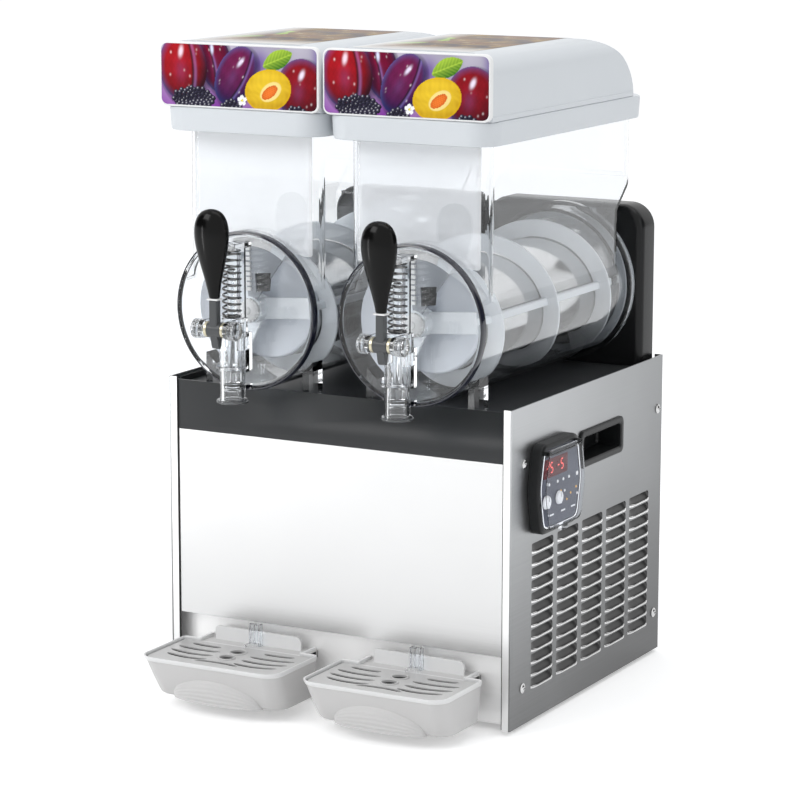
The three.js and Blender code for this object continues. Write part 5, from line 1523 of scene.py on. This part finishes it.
def tap_plunger():
    """The plunger: a sealing foot with its ring, a rod and the collar that the handle lifts."""
    stem = 4.5
    body = turned([(0, 330), (8.4, 330), (9.2, 330.8), (9.2, 334.6), (8.2, 335.2), (8.2, 337.6), (9.2, 338.2),
                   (9.2, 351.2), (8.4, 352), (stem, 352), (stem, 398.3), (9.7, 398.3), (10.5, 399),
                   (10.5, 404.2), (9.7, 405), (stem, 405), (stem, 453.6), (3.4, 455), (0, 455)],
                  "z", (0, TAP_Y), 64)
    publish_pair(body, "tap_plunger_rod", "clear_plastic", "tap_plunger", ["tap_plunger"])
    seal = [(9.2, 335.4), (9.45, 336.4), (9.2, 337.4), (8.2, 337.4), (8.2, 335.4), (9.2, 335.4)]
    publish_pair(turned(seal, "z", (0, TAP_Y), 48), "tap_seal", "soft_rubber", "tap_plunger",
                 slot="clear_plastic")


def tap_spring():
    """The coil with a closed ring at each end, which stays put with the cabinet."""
    low, high = span("tap_spring_right")
    wire, radius, squeezed = 1.12, 9, 18
    length = high.z - low.z
    height = length - 2 * wire
    coil = grown(COIL, "spring_wire", Coils=10.5, Radius=radius, Height=height, Wire_Radius=wire, Steps=36)
    pieces = [moved(coil, 0, TAP_Y, low.z + wire)]
    for z in (low.z + wire, high.z - wire):
        section = [(8.1, z), (radius, z - 0.9), (9.9, z), (radius, z + 0.9), (8.1, z)]
        pieces.append(turned(section, "z", (0, TAP_Y), 48))
    pair = publish_pair(gathered(*pieces), "tap_spring_coil", "spring_wire", "cabinet", ["tap_spring"],
                        "bright_steel")
    for side, spring in pair.items():
        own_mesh(spring)


def spout_fittings():
    """The ring at the foot of the spout."""
    section = [(9.6, 318.1), (12.8, 318.1), (12.8, 319.0), (9.6, 319.0), (9.6, 318.1)]
    publish_pair(turned(section, "z", (0, TAP_Y), 64), "spout_lip", "shank_grey", "cabinet",
                 slot="clear_plastic")


# ------------------------------------------------------------------ drip tray


def tray_plan(z, inset, draft=True):
    """The tray's plan at a height: its sides and front lean in towards the bottom."""
    fall = (TRAY["top"] - z) / (TRAY["top"] - TRAY["bottom"]) if draft else 0
    half = TRAY["half"] - inset - 5 * fall
    front = TRAY["front"] + inset + 26 * fall
    ahead, behind = max(18 - inset, 2), max(6 - inset, 1)
    return rounded(-half, half, front, TRAY["rear"] - inset, (ahead, ahead, behind, behind), 10)


def tray_skin(*rows, capped=True):
    """A skin through the tray's plan at several heights, each with its inset."""
    return skin("z", [(row[0], tray_plan(*row)) for row in rows], capped)


def tray_skins():
    """The tray's outer wall, its rim painted light as a highlight, and a lining painted dark as shade."""
    wall = tray_skin((9, 5), (9.5, 2.4), (11, 0.8), (13.5, 0.2), (30, 0.1), (49.4, 0.9), (49.8, 1.4))
    rim = tray_skin((49.4, 1.2), (50, 0.2), (51, -0.1), (53.6, -0.1), (54.7, 0.4), (55, 1.1), (54.6, 2.1),
                    (53.6, 2.5, False), (50.9, 2.5, False), (49.4, 1.2), capped=False)
    lining = tray_skin((50.8, 2.4, False), (50.5, 6.4, False), (49, 6.6), (16, 3.6), (12.4, 5.2), (11.5, 9),
                       (10.4, 9), (11.6, 4.4), (49.9, 1.6))
    return wall, rim, lining


def finger_grip():
    """The shell-shaped grip on the tray's front, with ridges that follow its arch."""
    columns, rows = 49, 30
    points = []
    for row in range(rows):
        up = row / (rows - 1)
        for column in range(columns):
            across = -1 + 2 * column / (columns - 1)
            arch = math.sqrt(max(1 - across * across, 0))
            z = TRAY["bottom"] + 0.2 + 27 * arch * up
            wall_y = TRAY["front"] + 26 - 26 * (z - TRAY["bottom"]) / 46
            ridge = 0.32 * math.cos(2 * math.pi * up * 5.5) * arch
            swell = (9.5 * (1 - up) ** 0.8 + 3.4) * arch * (1 - up ** 6) + ridge * (1 - up ** 8)
            points.append((53 * across, wall_y - swell + 0.6, z))
    faces = grid_faces(columns, rows)
    count = len(points)
    points += [(x, -70, z) for x, _, z in points]
    faces += [tuple(index + count for index in reversed(face)) for face in faces]
    rim = list(range(columns)) + [r * columns + columns - 1 for r in range(1, rows)]
    rim += [(rows - 1) * columns + c for c in range(columns - 2, -1, -1)]
    rim += [r * columns for r in range(rows - 2, 0, -1)]
    faces += [(b, a, a + count, b + count) for a, b in zip(rim, rim[1:] + rim[:1])]

    def build(shape):
        corners = [shape.verts.new(point) for point in points]
        for face in faces:
            shape.faces.new([corners[i] for i in face])

    return tidied("grip", build, 0.02)


def tray_tongue():
    """The shelf behind the tray that hooks into the cabinet."""
    return soft_block(1.0, 3, -64, 64, TRAY["rear"] - 1.2, 20, 44.5, 51.4)


def tongue_edges():
    """The raised edges that carry the tray's rim back along the shelf, and the upstand between them."""
    sides = [soft_block(0.9, 3, *sorted((s * 60.4, s * 64)), TRAY["rear"] - 2.4, 13.5, 46, 54.8)
             for s in (-1, 1)]
    upstand = prism(rounded(-52, 52, 49, 66, (0.2, 0.2, 7, 4), 8), "y", 2, 5)
    return [*sides, softened(upstand, 1.0, 3)]


def drip_tray():
    wall, rim, lining = tray_skins()
    publish_pair(gathered(wall, finger_grip(), tray_tongue()), "drip_tray_body", "tray_grey", "drip_tray",
                 ["drip_tray"])
    rim = carved(rim, block(-60, 60, TRAY["rear"] - 6, TRAY["rear"] + 2, 51.5, 57))
    # The rim and the shelf's raised edges are painted lighter as a highlight.
    publish_pair(gathered(rim, *tongue_edges()), "drip_tray_rim", "rim_white", "drip_tray", slot="tray_grey")
    # The lining is painted shade: a dark skin inside the tray's hollow where it lies in shadow.
    publish_pair(lining, "drip_tray_lining", "tray_shade", "drip_tray", slot="tray_grey")


def curved_slot(x0, x1, y, bow, width, z0, z1):
    """A slot across the tray's grid, bowed towards its middle."""
    steps = 12
    upper, lower = [], []
    for k in range(steps + 1):
        share = k / steps
        x = x0 + (x1 - x0) * share
        middle = y + bow * (1 - (2 * share - 1) ** 2) + 0.05 * abs(x)
        half = width / 2 * math.sqrt(max(1 - (2 * share - 1) ** 8, 0.05))
        upper.append((x, middle + half))
        lower.append((x, middle - half))
    return prism(lower + upper[::-1], "z", z0, z1)


def tray_grid():
    """The slotted grid with its two drain bosses."""
    bottom, top = 51, 52.4
    plate = tray_skin((bottom, 4.3, False), (top - 0.4, 4.3, False), (top, 4.7, False))
    cuts = []
    slots = ((-30, 26, 62, 1.6), (-45, 18, 70, 3.0), (-60, 17, 70, 4.2), (-74, 16, 66, 4.6))
    for side in (-1, 1):
        for y, inner, outer, bow in slots:
            ends = sorted((side * inner, side * outer))
            cuts.append(curved_slot(*ends, y, -bow, 6.2, bottom - 1, top + 1))
    cuts.append(curved_slot(-26, 26, -84, 5, 5.6, bottom - 1, top + 1))
    section = [(7.6, bottom), (9.6, bottom), (9.6, top + 0.6), (9.0, top + 1.4), (8.2, top + 1.4),
               (7.6, top + 0.8), (7.6, bottom)]
    bosses = []
    for y in (-60, -38):
        cuts.append(rod("z", 7.6, bottom - 1, top + 1, (0, y), 40))
        bosses.append(turned(section, "z", (0, y), 48))
    grid = gathered(softened(carved(plate, *cuts), 0.2, 2, 40), *bosses)
    publish_pair(grid, "tray_grid_plate", "grid_grey", "drip_tray", ["tray_grid"], "tray_grey")


def level_float():
    """The clear ribbed float that stands at the back of the tray's grid."""
    post = soft_block(1.0, 3, -7, 7, -5, 1, 50.3, 75)
    stem = soft_block(0.8, 3, -7, 7, -16, -3, 50.3, 55)
    rib = soft_block(0.3, 2, -0.6, 0.6, -6.0, 1.9, -12, 12)
    ribs = moved(grown(ROW, "thin_clear", Part=rib, Count=3, Step=(5.5, 0, 0)), -5.5, 0, 62.6)
    publish_pair(gathered(post, stem, ribs), "level_float", "thin_clear", "drip_tray", slot="clear_plastic")


# ------------------------------------------------------------------ inside the cabinet and the towers


def compressor():
    x, y = -95, 200
    shell = turned([(0, 20.3), (48, 20.3), (56, 22), (60, 28), (60, 92), (61.5, 94), (61.5, 97), (60, 99),
                    (60, 122), (57, 138), (50, 152), (38, 164), (20, 169.6), (0, 170.3)], "z", (x, y), 96)
    plate = soft_block(1.0, 2, x - 70, x + 70, y - 45, y + 45, 12.3, 15.3)
    stem = rod("z", 36, 13, 24, (x, y), 48)
    pipe = rod("z", 5, 60, 130, (x + 62, y), 32)
    publish(gathered(shell, plate, stem, pipe), "compressor_shell", "enamel_black", "cabinet", ["compressor"])


def plain_nodes():
    """Hidden working pieces that keep their CAD shape and take their finish."""
    for node, finish in (("fan_blade", "cast_metal"), ("filter_drier", "drier_copper"),
                         ("gear_motor_left", "cast_metal"), ("gear_motor_right", "cast_metal")):
        for place in frame["nodes"][node].material_slots:
            place.material = MATERIALS[finish]


# ------------------------------------------------------------------ camera, floor and light

VIEW = {"azimuth": 28.4708, "elevation": 10.8463, "roll": 0.0921, "distance": 3075.67, "lens": 137.93}
TARGET = (74.4814, 0, 328.513)


def camera():
    data = bpy.data.cameras.new("camera")
    data.lens = VIEW["lens"]
    data.sensor_width = 36
    data.clip_end = 100
    eye = in_scene("camera", data)
    a, e = math.radians(VIEW["azimuth"]), math.radians(VIEW["elevation"])
    back = Vector((math.sin(a) * math.cos(e), -math.cos(a) * math.cos(e), math.sin(e)))
    target = TO_FRAME @ Vector(TARGET)
    turn = (-back).to_track_quat("-Z", "Y").to_matrix().to_4x4()
    roll = Matrix.Rotation(math.radians(VIEW["roll"]), 4, "Z")
    eye.matrix_world = Matrix.Translation(target + back * VIEW["distance"] * MM) @ turn @ roll
    bpy.context.scene.camera = eye


def floor():
    """A wide white floor just under the feet, lit up a little where the camera sees it."""
    size, z = 30, CAD_LOW.z - 0.0004
    mesh = bpy.data.meshes.new("floor")
    corners = [(-size, -size, z), (size, -size, z), (size, size, z), (-size, size, z)]
    mesh.from_pydata(corners, [], [(0, 1, 2, 3)])
    tree, shader = new_finish("floor_white", Base_Color=(0.96, 0.96, 0.96, 1), Roughness=0.9,
                              Specular_IOR_Level=0.0, Emission_Color=(1, 1, 1, 1))
    feed(tree, shader.inputs["Emission Strength"], math_node(tree, "MULTIPLY", background_rays(tree), 0.36))
    mesh.materials.append(MATERIALS["floor_white"])
    ground = in_scene("floor", mesh)


def background_rays(tree):
    """1 for the rays that see the background itself, straight on, mirrored or through glass."""
    path = new_node(tree, "ShaderNodeLightPath").outputs
    seen = math_node(tree, "MAXIMUM", path["Is Camera Ray"], path["Is Glossy Ray"])
    return math_node(tree, "MAXIMUM", seen, path["Is Transmission Ray"])


def flag_tone(tree):
    """White, with a dark upright flag far to each side that only mirrors and clear edges catch."""
    place = new_node(tree, "ShaderNodeTexCoord").outputs["Generated"]
    angle = math.radians(VIEW["azimuth"])
    aside = {0: place, 1: (math.cos(angle), math.sin(angle), 0)}
    turned_aside = new_node(tree, "ShaderNodeVectorMath", aside, operation="DOT_PRODUCT").outputs["Value"]
    tone = ramp(tree, math_node(tree, "ABSOLUTE", turned_aside), 0.80, 0.90, 1.0, 0.05)
    straight = new_node(tree, "ShaderNodeLightPath").outputs["Is Camera Ray"]
    return math_node(tree, "MAXIMUM", tone, straight)


def world():
    scene = bpy.context.scene
    scene.world = bpy.data.worlds.new("studio")
    scene.world.use_nodes = True
    tree = scene.world.node_tree
    ground = tree.nodes["Background"]
    ground.inputs["Color"].default_value = (0.97, 0.985, 1, 1)
    ground.inputs["Strength"].default_value = 0.72
    shown = new_node(tree, "ShaderNodeBackground", {"Color": flag_tone(tree), "Strength": 1.0})
    feeds = {"Fac": background_rays(tree), 1: ground.outputs[0], 2: shown.outputs[0]}
    mix = new_node(tree, "ShaderNodeMixShader", feeds)
    feed(tree, tree.nodes["World Output"].inputs["Surface"], mix.outputs[0])


def lamp(name, place, size, energy, target=(0, 0.15, 0.35)):
    data = bpy.data.lights.new(name, "AREA")
    data.shape = "RECTANGLE"
    data.size, data.size_y = size
    data.energy = energy
    light = in_scene(name, data)
    light.location = place
    light.rotation_euler = (Vector(target) - Vector(place)).to_track_quat("-Z", "Y").to_euler()


def studio():
    bpy.context.scene.view_settings.view_transform = "Standard"
    floor()
    world()
    lamp("key", (-1.6, -2.4, 2.2), (1.6, 1.6), 34)
    lamp("top", (0.3, 0.2, 2.6), (2.0, 2.0), 16)
    lamp("side", (2.6, -0.4, 1.1), (1.2, 1.8), 4)
    lamp("strip", (-1.0, -1.1, 0.26), (0.09, 0.5), 1.1, (0, -0.2, 0.45))


# ------------------------------------------------------------------ making it all

camera()
make_finishes()
GRID, RING, ROW, COIL = grid_tree(), ring_tree(), row_tree(), coil_tree()
MODEL = [
    cabinet_sides, refined_pieces, rear_louvres, feet,
    control_housing, face_plate, display, button_lamps, dials, control_cover,
    bowl, pane_sheen, rim_ring, gasket, evaporator,
    auger, auger_arm, auger_wing, auger_teeth, auger_fittings,
    tower, lid, hood, picture_panel, hood_print,
    tap_pin, tap_handle, tap_plunger, tap_spring, spout_fittings,
    drip_tray, tray_grid, level_float, compressor, plain_nodes,
]
for make in MODEL:
    make()
studio()
